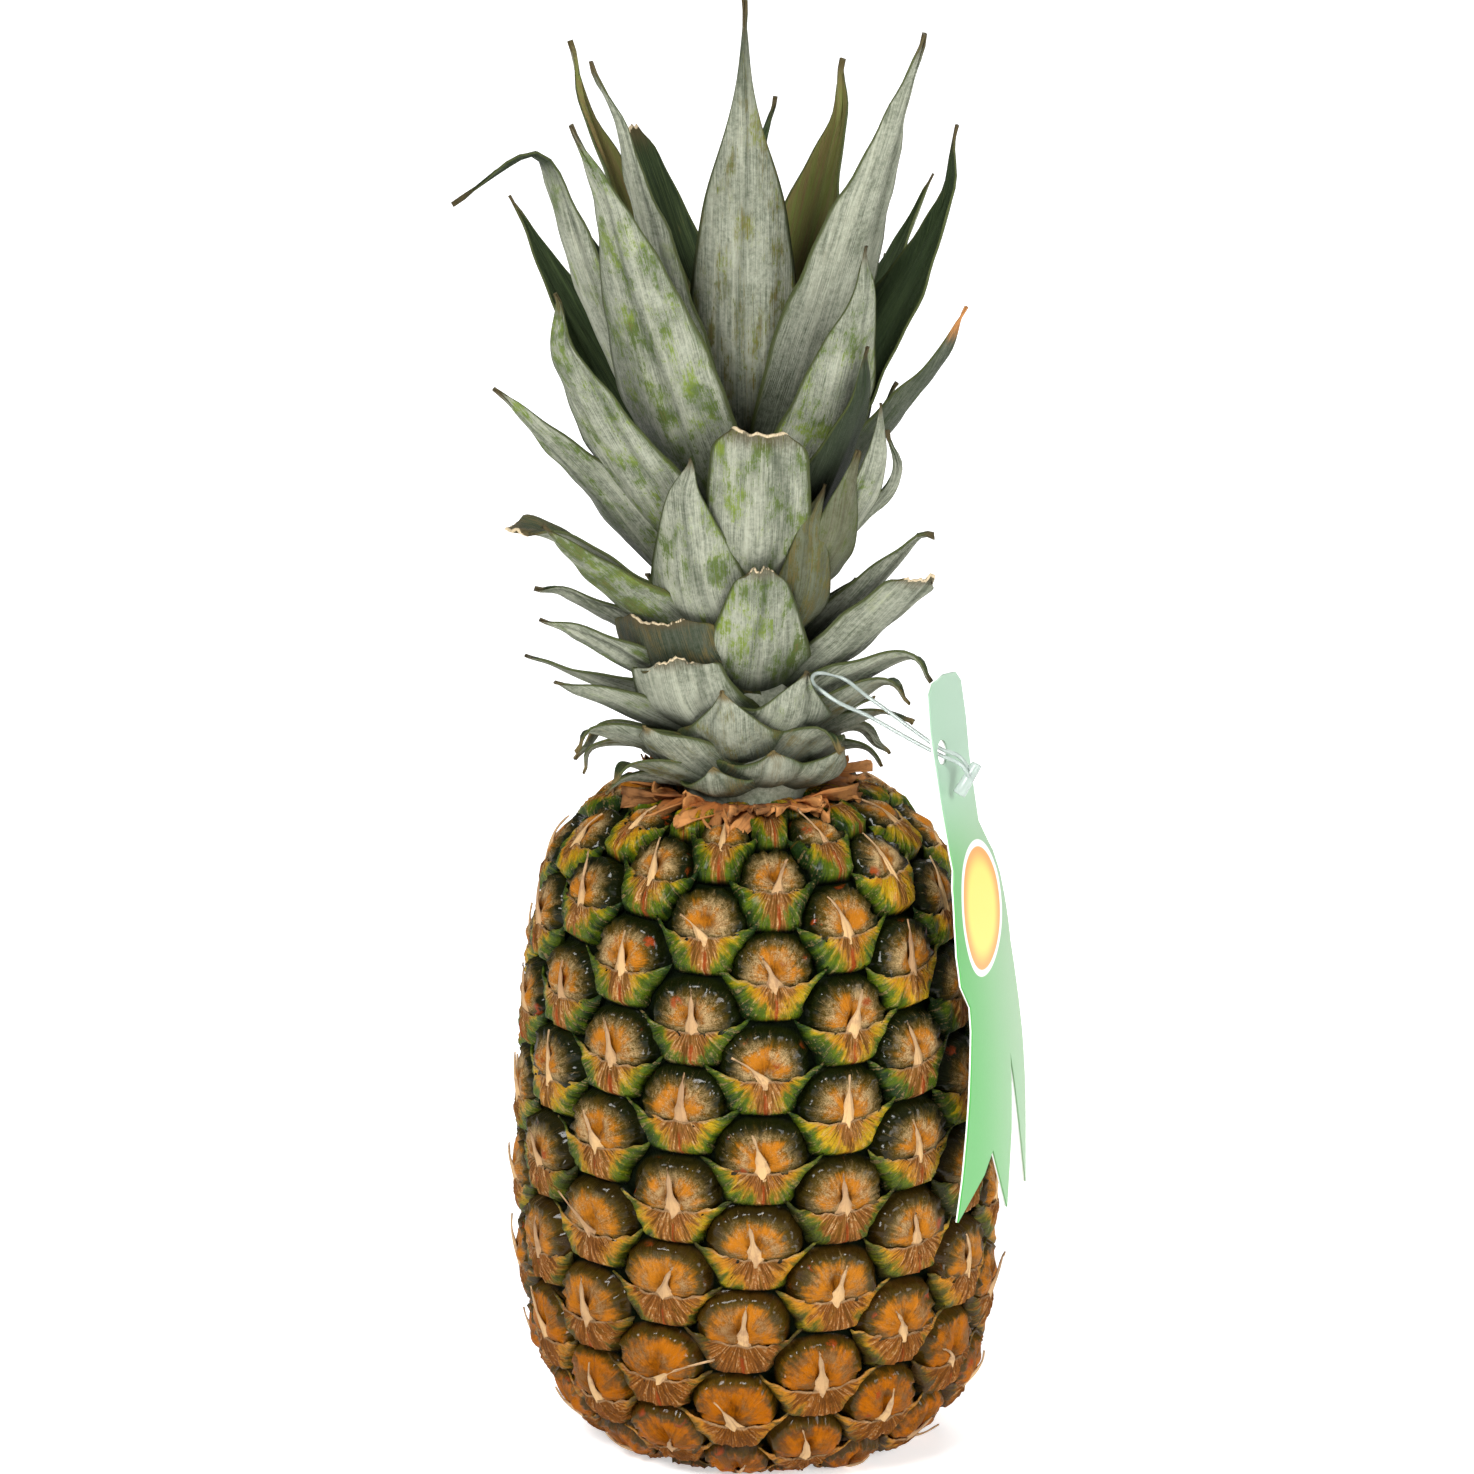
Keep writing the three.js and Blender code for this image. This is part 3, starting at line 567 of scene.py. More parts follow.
def flake_material(name, base, tip, dark):
    """Dry papery flakes with lengthwise fibres."""
    tree = Tree(name)
    x, along, tone = tree.attribute("flake")
    spot = tree.place()
    fibres = tree.noise(tree.vector(x * 3.2, along * 0.6, tone * 50.0), 1.0, 4.0, 0.6)
    blotch = tree.noise(spot, 260.0, 3.0, 0.6)
    body = tree.mix(tree.step(along + (blotch - 0.5) * 0.6, 0.15, 0.8), base, tip)
    streaked = tree.mix(tree.step(fibres, 0.5, 0.75) * 0.7, body, dark)
    spotted = tree.mix(tree.step(blotch, 0.55, 0.7) * 0.5, streaked, dark)
    colour = tree.mix(tree.step(tone + (blotch - 0.5) * 0.4, 0.5, 1.0) * 0.6, spotted, dark)
    normal = tree.bump(fibres + blotch, 0.8, 0.0009)
    return tree.finish(base_color=colour, roughness=0.7 + blotch * 0.15, normal=normal, specular=0.3)


def leaf_material(name, settings, outer):
    """Leaf skin: silvery outside with rubbed green patches, dark olive inside, both finely striped, with
    painted shade near the stem, the roots and the folds.
    """
    tree = Tree(name)
    x, along, share = tree.attribute("leaf")
    tone, blunt, edge = tree.attribute("leaf_look")
    # rubbed and dry are marks of the leaf; dark holds the darkening of leaves listed as dark plus painted
    # shade
    rubbed, dry, dark = tree.attribute("leaf_wear_and_shade")
    spot = tree.place()
    fine = tree.noise(tree.vector(x * 4.0, along * 0.07, tone * 60.0), 1.0, 4.0, 0.7)
    threads = tree.noise(tree.vector(x * 9.0, along * 0.2, tone * 20.0), 1.0, 3.0, 0.7)
    broad = tree.noise(tree.vector(x * 0.45, along * 0.02, tone * 90.0), 1.0, 3.0, 0.6)
    patch = tree.noise(tree.vector(x * 0.2, along * 0.075, tone * 37.0), 1.0, 4.0, 0.7)
    cloud = tree.noise(spot, 70.0, 4.0, 0.6, 0.4)
    speck = tree.noise(spot, 800.0, 4.0, 0.75)
    if outer:
        grain = fine + (speck - 0.5) * 0.7 + (cloud - 0.5) * 0.5
        silver = tree.mix(tree.step(grain, 0.26, 0.72), settings.silver_dark, settings.silver)
        striped = tree.mix(tree.step(broad, 0.5, 0.66) * 0.4, silver, settings.leaf_pale)
        scratched = tree.mix(tree.step(threads + (patch - 0.5) * 0.9, 0.66, 0.84) * 0.4, striped,
                             settings.leaf_shade)
        # Painted shade: near the root the margin green spreads over the leaf, darkening it where it lies in
        # shade
        base = 1.0 - tree.step(along, 4.0, 26.0)
        border = edge + base * 0.3 + (threads - 0.5) * 0.9 + (cloud - 0.5) * 0.5
        greened = tree.mix(tree.step(border, 0.82, 1.12) * 0.8, scratched, settings.leaf_shade)
        worn_by = patch * 0.75 + fine * 0.4 + threads * 0.25 + (speck - 0.5) * 0.35 + rubbed * 0.08
        worn = tree.step(worn_by, 0.765, 0.87) * tree.step(rubbed, 0.0, 0.4)
        green = tree.mix(tree.step(cloud, 0.45, 0.65), settings.leaf_green, settings.leaf_lime)
        scuffed = tree.mix(worn * 0.9, greened, green)
        face = tree.mix(tree.step(worn_by, 0.93, 1.0) * tree.step(rubbed, 0.3, 0.7) * 0.8, scuffed,
                        settings.leaf_brown)
    else:
        inner = tree.mix(tree.step(fine, 0.35, 0.7), settings.inner_dark, settings.inner_olive)
        face = tree.mix(tree.step(broad, 0.5, 0.7) * 0.35, inner, settings.leaf_shade)
    olive = tree.mix(tree.step(fine + (broad - 0.5) * 0.6, 0.35, 0.65), settings.leaf_brown,
                     settings.leaf_olive)
    olive_share = tree.step(dark, 1.2, 1.8)
    if outer:
        olive_share = olive_share * (1.0 - tree.step(dark, 1.75, 1.9))
    toned = tree.mix(olive_share, face, olive)
    # Painted shade near the stem, the roots and the folds, and the darkening of leaves listed as dark, mix
    # towards the inner dark colour
    gloom = tree.step(dark, 0.0, 1.0, "LINEAR") * (1.0 - tree.step(dark, 1.2, 1.8))
    shaded = tree.mix(gloom * (0.75 + threads * 0.35), toned, settings.inner_dark)
    margin = tree.step(edge + (speck - 0.5) * 0.06, 0.91, 0.97)
    edged = tree.mix(margin * 0.9, shaded, settings.leaf_edge)
    dried = tree.mix(tree.step(patch * 0.6 + fine * 0.5 + dry * (1.0 - dry) * 0.9, 0.74, 0.9) * 0.8, edged,
                     settings.leaf_brown)
    towards_tip = share + (fine - 0.5) * 0.12 + (threads - 0.5) * 0.06 + dry * 0.05
    tip = tree.step(towards_tip, 0.93, 1.0) * (1.0 - blunt)
    curl = tree.mix(tree.step(dry, 0.5, 0.7), settings.leaf_tip, settings.leaf_brown)
    end = tree.mix(tree.step(dry, 0.72, 0.95), curl, settings.collar_tan)
    tipped = tree.mix(tip * 0.9, dried, end)
    scorched = tree.mix(tree.step(share + (threads - 0.5) * 0.16, 0.9, 1.0) * blunt * 0.8, tipped,
                        settings.leaf_tip)
    torn = tree.step(share + (threads - 0.5) * 0.012, 0.988, 0.993) * blunt
    torn = torn * tree.step(patch + (fine - 0.5) * 0.5, 0.36, 0.5)
    colour = tree.mix(torn, scorched, settings.leaf_straw)
    normal = tree.bump(fine * 0.8 + threads * 0.4 + speck * 0.3, 0.7, 0.0009)
    rough = 0.55 + fine * 0.2 if outer else 0.45 + fine * 0.2
    return tree.finish(base_color=colour, roughness=rough, normal=normal, specular=0.2)


def stub_material():
    """Cut stalk: pale fibrous rings that have dried to brown."""
    tree = Tree("cut_stalk")
    spot = tree.place()
    grown = {"Vector": spot, "Scale": 160.0, "Distortion": 3.0, "Detail": 3.0, "Detail Scale": 2.0}
    rings = tree.node("ShaderNodeTexWave", {"wave_type": "RINGS", "rings_direction": "Z"}, grown, 1)
    pores = tree.noise(spot, 900.0, 4.0, 0.7)
    body = tree.mix(tree.step(rings, 0.3, 0.8) * 0.6, (0.5, 0.34, 0.17), (0.27, 0.16, 0.07))
    colour = tree.mix(tree.step(pores, 0.5, 0.75), body, (0.12, 0.07, 0.03))
    normal = tree.bump(pores + rings * 0.4, 0.7, 0.0008)
    return tree.finish(base_color=colour, roughness=0.75 + pores * 0.15, normal=normal, specular=0.3)


def card_material(settings):
    """Green printed card that pales towards one side, with a plain warm oval and a white edge."""
    tree = Tree("tag_card_print")
    across, height, face = tree.attribute("card")
    spot = tree.place()
    grain = tree.noise(spot, 1500.0, 3.0, 0.6)
    sweep = tree.step(across + (height - 112.0) * 0.17, -24.0, 24.0)
    green = tree.mix(sweep, settings.card_green, settings.card_pale)
    up = height - OVAL["height"]
    aside = (across - OVAL["across"] - up * 0.14) / OVAL["half_width"]
    oval = aside ** 2.0 + (up / OVAL["half_height"]) ** 2.0
    ring = tree.mix(tree.step(oval, 0.3, 0.75), settings.oval_middle, settings.oval_warm)
    edge = tree.mix(tree.step(oval, 0.8, 0.84), ring, (0.85, 0.85, 0.82))
    faded = tree.mix(tree.step(height, 158.0, 186.0) * 0.8, green, settings.card_neck)
    printed = tree.mix(1.0 - tree.step(oval, 0.99, 1.03), faded, edge)
    front = tree.mix(tree.step(face, 0.4, 0.6), (0.82, 0.84, 0.8), printed)
    normal = tree.bump(grain, 0.08, 0.0002)
    return tree.finish(base_color=front, roughness=0.3 + grain * 0.1, normal=normal, specular=0.5)


def clear_material():
    """Clear moulded plastic with a faint milky cast."""
    tree = Tree("clear_plastic")
    grain = tree.noise(tree.place(), 400.0, 2.0, 0.5)
    colour = tree.mix(grain, (0.5, 0.57, 0.53), (0.62, 0.7, 0.66))
    return tree.finish(base_color=colour, roughness=0.12 + grain * 0.1, transmission=0.5, specular=0.4)


# Sizes and colours a user would change


def colour_property(name, default, description):
    """A colour that the user can change."""
    return bpy.props.FloatVectorProperty(
        name=name, subtype="COLOR", size=3, min=0.0, max=1.0, default=default, description=description)


class PineappleFruitSettings(bpy.types.PropertyGroup):
    """Sizes and colours of the domes, bracts and thorns"""

    dome_rise: bpy.props.FloatProperty(
        name="Dome rise", default=3.4, min=0.5, max=6.0,
        description="Height of a dome over its groove, in mm")
    groove_depth: bpy.props.FloatProperty(
        name="Groove depth", default=1.7, min=0.2, max=4.0, description="Depth of the grooves, in mm")
    thorn_length: bpy.props.FloatProperty(
        name="Thorn length", default=12.0, min=3.0, max=20.0, description="Length of the dry thorns, in mm")
    bract_wall: bpy.props.FloatProperty(
        name="Bract wall", default=0.00045, min=0.0001, max=0.002, unit="LENGTH",
        description="Thickness of the bracts")
    dome_orange: colour_property("Dome orange", (0.45, 0.155, 0.01), "Middle of a dome")
    dome_brown: colour_property("Dome brown", (0.12, 0.038, 0.003), "Darker blotches of a dome")
    dome_yellow: colour_property("Dome yellow", (0.36, 0.1, 0.001), "Domes low on the fruit")
    dome_olive: colour_property("Dome olive", (0.052, 0.032, 0.002), "Between middle and rim")
    dome_rim: colour_property("Dome rim", (0.006, 0.0085, 0.0008), "Dark rim of a dome")
    dome_pale: colour_property("Dome bloom", (0.56, 0.385, 0.18), "Whitish mottling")
    dome_red: colour_property("Dome red", (0.3, 0.045, 0.006), "Red-brown spots")
    # Near-black: the grooves' dark green with painted shade in them; also paints the shade where bracts sink
    # into the grooves
    groove_and_shade: colour_property("Groove", (0.002, 0.004, 0.001), "Grooves between fruitlets")
    bract_dry: colour_property("Bract dry", (0.36, 0.14, 0.045), "Dried middle of a bract")
    bract_rust: colour_property("Bract rust", (0.24, 0.068, 0.004), "Dried bracts low on the fruit")
    bract_brown: colour_property("Bract brown", (0.1, 0.032, 0.007), "Veins of a dried bract")
    bract_pale: colour_property("Bract pale", (0.6, 0.38, 0.17), "Pale fibres of a bract")
    bract_yellow: colour_property("Bract yellow", (0.48, 0.3, 0.004), "Yellow part of a bract")
    bract_orange: colour_property("Bract orange", (0.5, 0.19, 0.008), "Orange part of a bract")
    bract_green: colour_property("Bract green", (0.078, 0.122, 0.002), "Green part of a bract")
    bract_dark: colour_property("Bract dark", (0.008, 0.024, 0.002), "Horns of a bract")
    thorn: colour_property("Thorn", (0.54, 0.35, 0.18), "Dry thorns and lips")


class PineappleCrownSettings(bpy.types.PropertyGroup):
    """Thickness and colours of the leaves and the dry collar"""

    blade_wall: bpy.props.FloatProperty(
        name="Blade wall", default=0.0006, min=0.0002, max=0.003, unit="LENGTH",
        description="Thickness of the leaves")
    silver: colour_property("Silver", (0.355, 0.37, 0.285), "Outer face of the leaves")
    silver_dark: colour_property("Silver dark", (0.11, 0.125, 0.082), "Stripes of the outer face")
    leaf_pale: colour_property("Leaf pale", (0.48, 0.49, 0.375), "Pale stripes")
    leaf_green: colour_property("Leaf green", (0.06, 0.1, 0.006), "Rubbed patches")
    leaf_lime: colour_property("Leaf lime", (0.15, 0.215, 0.012), "Rubbed patches, fresh")
    # Also painted as shade near the leaf roots
    leaf_shade: colour_property("Leaf shade", (0.055, 0.085, 0.025), "Green towards the margins")
    leaf_olive: colour_property("Leaf olive", (0.12, 0.14, 0.03), "Olive inner faces")
    leaf_tip: colour_property("Leaf tip", (0.07, 0.05, 0.02), "Dried tips")
    leaf_edge: colour_property("Leaf edge", (0.05, 0.062, 0.015), "Leaf margins")
    # Also the colour of the painted shade near the stem, the roots and the folds
    inner_dark: colour_property("Inner dark", (0.01, 0.02, 0.005), "Inner face, dark stripes")
    inner_olive: colour_property("Inner olive", (0.045, 0.066, 0.022), "Inner face, light stripes")
    leaf_brown: colour_property("Leaf brown", (0.14, 0.1, 0.035), "Dried parts")
    leaf_straw: colour_property("Leaf straw", (0.62, 0.5, 0.32), "Torn edges")
    collar_orange: colour_property("Collar orange", (0.34, 0.11, 0.022), "Dry bracts round the neck")
    collar_tan: colour_property("Collar tan", (0.44, 0.19, 0.055), "Tips of the dry bracts")
    collar_dark: colour_property("Collar dark", (0.07, 0.025, 0.008), "Shadowed fibres")


class PineappleTagSettings(bpy.types.PropertyGroup):
    """Colours of the hang tag"""

    card_green: colour_property("Card green", (0.06, 0.36, 0.06), "Fresh green of the card")
    card_pale: colour_property("Card pale", (0.3, 0.43, 0.28), "Pale side of the card")
    card_neck: colour_property("Card neck", (0.32, 0.47, 0.36), "Pale neck of the card")
    oval_warm: colour_property("Oval warm", (0.85, 0.3, 0.06), "Outside of the plain oval")
    oval_middle: colour_property("Oval middle", (0.9, 0.62, 0.12), "Middle of the plain oval")


class PineappleStageSettings(bpy.types.PropertyGroup):
    """Floor and lights"""

    floor_colour: colour_property("Floor", (0.93, 0.93, 0.93), "Colour of the floor")
    key_power: bpy.props.FloatProperty(
        name="Key power", default=12.8, min=0.0, max=500.0, unit="POWER",
        description="Power of the lights: the main one has three times this")
    ambient: bpy.props.FloatProperty(
        name="Ambient", default=0.19, min=0.0, max=5.0,
        description="Strength of the even light from all sides")
    floor_glow: bpy.props.FloatProperty(
        name="Floor glow", default=0.5, min=0.0, max=5.0,
        description="Light that the floor gives off itself")


# Geometry of the fruit


def dome_field(x, y, tone):
    """How far out a point lies in a dome, from 0 in the middle to 1 at its rim."""
    half = DOME_HALF * (0.97 + 0.06 * tone)
    top = np.abs(x / half) ** 2.4 + np.abs((y - DOME_MIDDLE) / DOME_UP) ** 2.4
    bottom = np.abs(x / half) ** 3.0 + np.abs((DOME_MIDDLE - y) / DOME_DOWN) ** 3.0
    return np.where(y > DOME_MIDDLE, top, bottom) ** (1 / 2.4)


def dome_height(x, y, q, settings, shuffle):
    """Height in millimetres over the barrel of a dome with two lobes and a scalloped rim."""
    angle = np.arctan2(y - DOME_MIDDLE * 0.4, x)
    phase = shuffle.uniform(0.0, 6.28, 6)
    wobble = 0.035 * np.sin(angle * 5 + phase[3]) + 0.03 * np.sin(angle * 11 + phase[4])
    rise = 1.0 - smooth(q + wobble, 0.76, 1.04)
    height = -settings.groove_depth + settings.dome_rise * rise + 0.7 * (1.0 - smooth(q + wobble, 0.4, 0.74))
    lobes = np.exp(-((np.abs(x) - 4.4) ** 2 + (y - 3.8) ** 2) / 9.0)
    crease = np.exp(-(x + 0.5 * np.sin(y * 0.7 + phase[5])) ** 2)
    crease = crease * smooth(y, -1.0, 2.0) * (1.0 - smooth(y, 6.0, 10.5))
    height += 1.0 * lobes - 1.2 * crease + 0.5 * np.exp(-((q - 0.86) / 0.09) ** 2)
    scallop = np.sin(angle * 15 + phase[0]) + 0.8 * np.sin(angle * 24 + phase[1])
    scallop = scallop + 0.7 * np.sin(angle * 41 + phase[2])
    band = smooth(q, 0.4, 0.85) * (1.0 - smooth(q, 0.95, 1.08))
    lumps = 0.5 * np.sin(x * 0.9 + phase[3]) * np.sin(y * 0.8 + phase[5]) * (1.0 - q).clip(0.0)
    return height + 0.42 * scallop * band + lumps


def build_skin(settings):
    """The whole barrel as one sheet wrapped round the axis, raised into domes by formula."""
    bm = bmesh.new()
    bmesh.ops.create_grid(bm, x_segments=SKIN_GRID[0], y_segments=SKIN_GRID[1], size=0.5)
    mesh = mesh_from(bm, "fruit_skin")
    flat = np.empty(len(mesh.vertices) * 3)
    mesh.vertices.foreach_get("co", flat)
    flat = flat.reshape(-1, 3) + 0.5
    azimuth = flat[:, 0] * 360.0 + 180.0
    along = flat[:, 1] * OUTLINE_LENGTH
    best = np.full(len(flat), 9.0)
    out = np.full(len(flat), -settings.groove_depth)
    local = np.zeros((len(flat), 3))
    local[:, 2] = 1.6
    look = np.zeros((len(flat), 3))
    for fruitlet in fruitlets():
        shuffle = np.random.default_rng(DOME_SEED + fruitlet[2])
        tone = shuffle.uniform()
        x, y = local_place(azimuth, along, fruitlet)
        near = np.nonzero((np.abs(x) < 14.5) & (np.abs(y - 5) < 13))[0]
        q = dome_field(x[near], y[near], tone)
        height = dome_height(x[near], y[near], q, settings, shuffle) + 0.5 * (tone - 0.5) * (q < 1)
        won = q < best[near]
        chosen = near[won]
        best[chosen] = q[won]
        out[chosen] = height[won]
        local[chosen] = np.stack((x[near][won], y[near][won], q[won]), axis=-1)
        look[chosen, 0] = tone
    height = np.interp(along, OUTLINE_ALONG, OUTLINE[:, 1])
    look[:, 1] = 1.0 - smooth(height, 8.0, 110.0)
    look[:, 2] = smooth(height, 105.0, 150.0)
    share = along / OUTLINE_LENGTH
    fade = smooth(share, 0.06, 0.15) * (1.0 - smooth(share, 0.86, 0.93))
    points = skin_point(azimuth, along, out * fade - 0.4 * (1 - fade))
    radius = np.interp(along, OUTLINE_ALONG, OUTLINE[:, 0])
    foot = (points[:, 2] < 0.0) | ((height < 20) & (radius < STUB_RADIUS + 0.5))
    points[foot, 2] = 0.0
    points[(height < 20) & (radius < STUB_RADIUS + 0.35), 2] = (STUB_HEIGHT + 0.4) * MM
    neck = (height > 100) & (radius < POCKET_RADIUS)
    points[neck, 2] = (CROWN_BASE - 0.6) * MM
    mesh.vertices.foreach_set("co", points.ravel())
    for name, values in (("fruitlet", local), ("look", look)):
        layer = mesh.attributes.new(name, "FLOAT_VECTOR", "POINT")
        layer.data.foreach_set("vector", values.ravel())
    bm = bmesh.new()
    bm.from_mesh(mesh)
    bmesh.ops.remove_doubles(bm, verts=bm.verts, dist=2e-6)
    bm.to_mesh(mesh)
    bm.free()
    return mesh


def bract_place(fruitlet):
    """Layout of one bract: a flap with a free lip and two long horns, fitted between domes."""
    shuffle = np.random.default_rng(BRACT_SEED + fruitlet[2])
    tone = shuffle.uniform()
    phase = shuffle.uniform(0.0, 6.28, 5)
    stretch = shuffle.uniform(0.95, 1.04)
    droop = shuffle.uniform(-0.5, 0.5)
    height = float(np.interp(fruitlet[1], OUTLINE_ALONG, OUTLINE[:, 1]))
    low = 1.0 - float(smooth(height, 8.0, 110.0))
    high = float(smooth(height, 105.0, 150.0))

    def place(across, along):
        p = (across - 0.5) * 2.0
        drop = 1.0 - along
        flare = np.maximum(1.0 - drop / 0.62, 0.0) ** 1.35
        half = BRACT_BODY + (BRACT_HALF - BRACT_BODY) * flare - 0.9 * smooth(drop, 0.4, 0.7)
        half = half - 1.6 * smooth(drop, 0.8, 1.0)
        x = half * stretch * p - BRACT_SHIFT * smooth(drop, 0.0, 0.45)
        ragged = 0.22 * np.sin(x * 1.3 + phase[0]) + 0.16 * np.sin(x * 3.7 + phase[1])
        ragged = ragged + droop * p * (1 - p * p) * 3
        horn = HORN_RISE * (np.abs(x) / BRACT_HALF) ** 2.3
        y = -0.2 + horn * (1.0 - 0.55 * drop) + ragged * (1 - drop) ** 2 - BRACT_TAIL * drop
        crest = 2.6 - 1.4 * (np.abs(x) / BRACT_HALF) ** 1.4 + 0.3 * np.sin(x * 1.1 + phase[4])
        border = (np.abs(p) ** 9 + drop ** 9) ** (1 / 9)
        sink = smooth(border, 0.78, 1.02) * smooth(drop, 0.0, 0.3)
        fan = np.arctan2(x, 3.4 - y)
        folds = 0.3 * np.sin(fan * 13 + phase[2]) + 0.2 * np.sin(fan * 27 + phase[3])
        folds = folds + 0.12 * np.sin(fan * 45)
        belly = 0.5 * np.sin(np.pi * np.minimum(drop * 1.2, 1.0)) * (1 - p * p)
        out = crest * (1.0 - 0.3 * drop) + belly + folds * smooth(drop, 0.02, 0.3) * (1 - sink)
        out = out - (out + 1.55) * sink
        azimuth = fruitlet[0] + np.degrees(x / REFERENCE_RADIUS)
        share = (fruitlet[1] + y) / OUTLINE_LENGTH
        fade = smooth(share, 0.04, 0.13) * (1.0 - smooth(share, 0.9, 0.96))
        points = skin_point(azimuth, fruitlet[1] + y, out * fade + 0.1)
        points[:, 2] = np.maximum(points[:, 2], 0.3 * MM)
        local = np.stack((x, y, drop), axis=-1)
        look = np.stack((np.full_like(x, tone), np.full_like(x, low), np.full_like(x, high)), axis=-1)
        return points, local, look

    return place


def build_bracts():
    """All bracts, apart from those that would lie in the foot or under the collar."""
    sheets = [(*BRACT_GRID, bract_place(fruitlet)) for fruitlet in fruitlets_within(BRACT_MARGINS)]
    return mesh_of_sheets("bracts", ("bract", "look"), sheets)


def under_card(fruitlet):
    """Whether a fruitlet lies behind the hang tag."""
    turn = (fruitlet[0] - CARD_AZIMUTH + 180.0) % 360.0 - 180.0
    return abs(turn) < 36 and np.interp(fruitlet[1], OUTLINE_ALONG, OUTLINE[:, 1]) > 52


def thorn_place(fruitlet, settings):
    """Layout of one dry thorn: a flake that flares at its foot and curls towards its tip."""
    shuffle = np.random.default_rng(THORN_SEED + fruitlet[2])
    tone = shuffle.uniform()
    length = settings.thorn_length * shuffle.uniform(0.75, 1.1)
    side = shuffle.normal(0.0, 2.2)
    curl = shuffle.uniform(-1.0, 1.0)
    lift = 0.5 if under_card(fruitlet) else shuffle.uniform(0.4, 1.7)
    if shuffle.uniform() < 0.16:
        side, lift, length = side * 3.0 + math.copysign(2.5, side), lift * 0.8, length * 0.65

    def place(across, along):
        p = (across - 0.5) * 2.0
        half = 0.1 + 1.2 * (1 - along) ** 1.1 + 2.3 * np.exp(-(along / 0.3) ** 1.6)
        half = half + 0.2 * np.sin(along * 13 + tone * 6)
        x = side * along ** 1.8 + half * p
        y = -2.2 + (length + 2.2) * along - 1.2 * along ** 3 * abs(curl)
        height = 2.75 + lift * np.sin(along * 1.9) ** 1.3 - 0.5 * np.abs(p) * half + 0.8 * curl * along ** 3
        azimuth = fruitlet[0] + np.degrees(x / REFERENCE_RADIUS)
        share = (fruitlet[1] + y) / OUTLINE_LENGTH
        points = skin_point(azimuth, fruitlet[1] + y, height * smooth(share, 0.04, 0.15) + 0.1)
        points[:, 2] = np.maximum(points[:, 2], 0.5 * MM)
        return points, np.stack((p, along, np.full_like(p, tone)), axis=-1)

    return place


def build_thorns(settings):
    """All thorns, apart from those at the foot and the neck."""
    shown = fruitlets_within(THORN_MARGINS)
    sheets = [(*THORN_GRID, thorn_place(fruitlet, settings)) for fruitlet in shown]
    return mesh_of_sheets("thorns", ("flake",), sheets)


# Geometry of the crown


def back_leaves():
    """Leaves of the hidden side: long ones on a spiral, and short ones in rows round the stem."""
    leaves = []
    for i in range(BACK_LEAVES["count"]):
        rise = i / BACK_LEAVES["count"]
        root = BACK_LEAVES["low"] + i * BACK_LEAVES["step"]
        reach = 38 + 20 * rise
        top = root + 14 + 62 * rise
        inner = 12 - 5 * rise
        middle = (inner + (reach - inner) * 0.45, root + (top - root) * (0.55 - 0.1 * rise))
        at = BACK_LEAVES["first"] + (i * BACK_LEAVES["golden"] % 1) * BACK_LEAVES["sector"]
        leaves.append(blade(at, 17 + 4 * math.sin(i), (inner, root), middle, (reach, top)))
    for row in range(STEM_LEAVES["rows"]):
        root = STEM_LEAVES["low"] + row * STEM_LEAVES["step"]
        for i in range(STEM_LEAVES["count"]):
            at = STEM_LEAVES["first"] + (i + 0.5 * (row % 2)) * STEM_LEAVES["spread"]
            tip = 2.5 * math.sin(row * 5 + i * 2.4)
            leaves.append(blade(at, 21, (13, root), (20.5, root + 6), (24 + tip, root + 15 + tip)))
    return leaves


def leaf_width(share, blunt, low, nip):
    """Width along a leaf as a share of its full width: pointed, or blunt with rounded corners."""
    root, widest, power = (0.9, 0.25, 1.5) if low else (0.72, 0.38, 1.35)
    rise = root + (1 - root) * np.sin(np.minimum(share / widest, 1.0) * math.pi / 2)
    past = np.maximum((share - widest) / (1 - widest), 0.0)
    pointed = (1 - past ** power) * (1 - nip * smooth(past, 0.35, 0.85))
    if not blunt:
        return rise * pointed
    end = min(blunt + 0.25, 1.0)
    return rise * (end + (1 - end) * pointed) * (1 - 0.45 * smooth(past, 0.8, 1.02) ** 2)


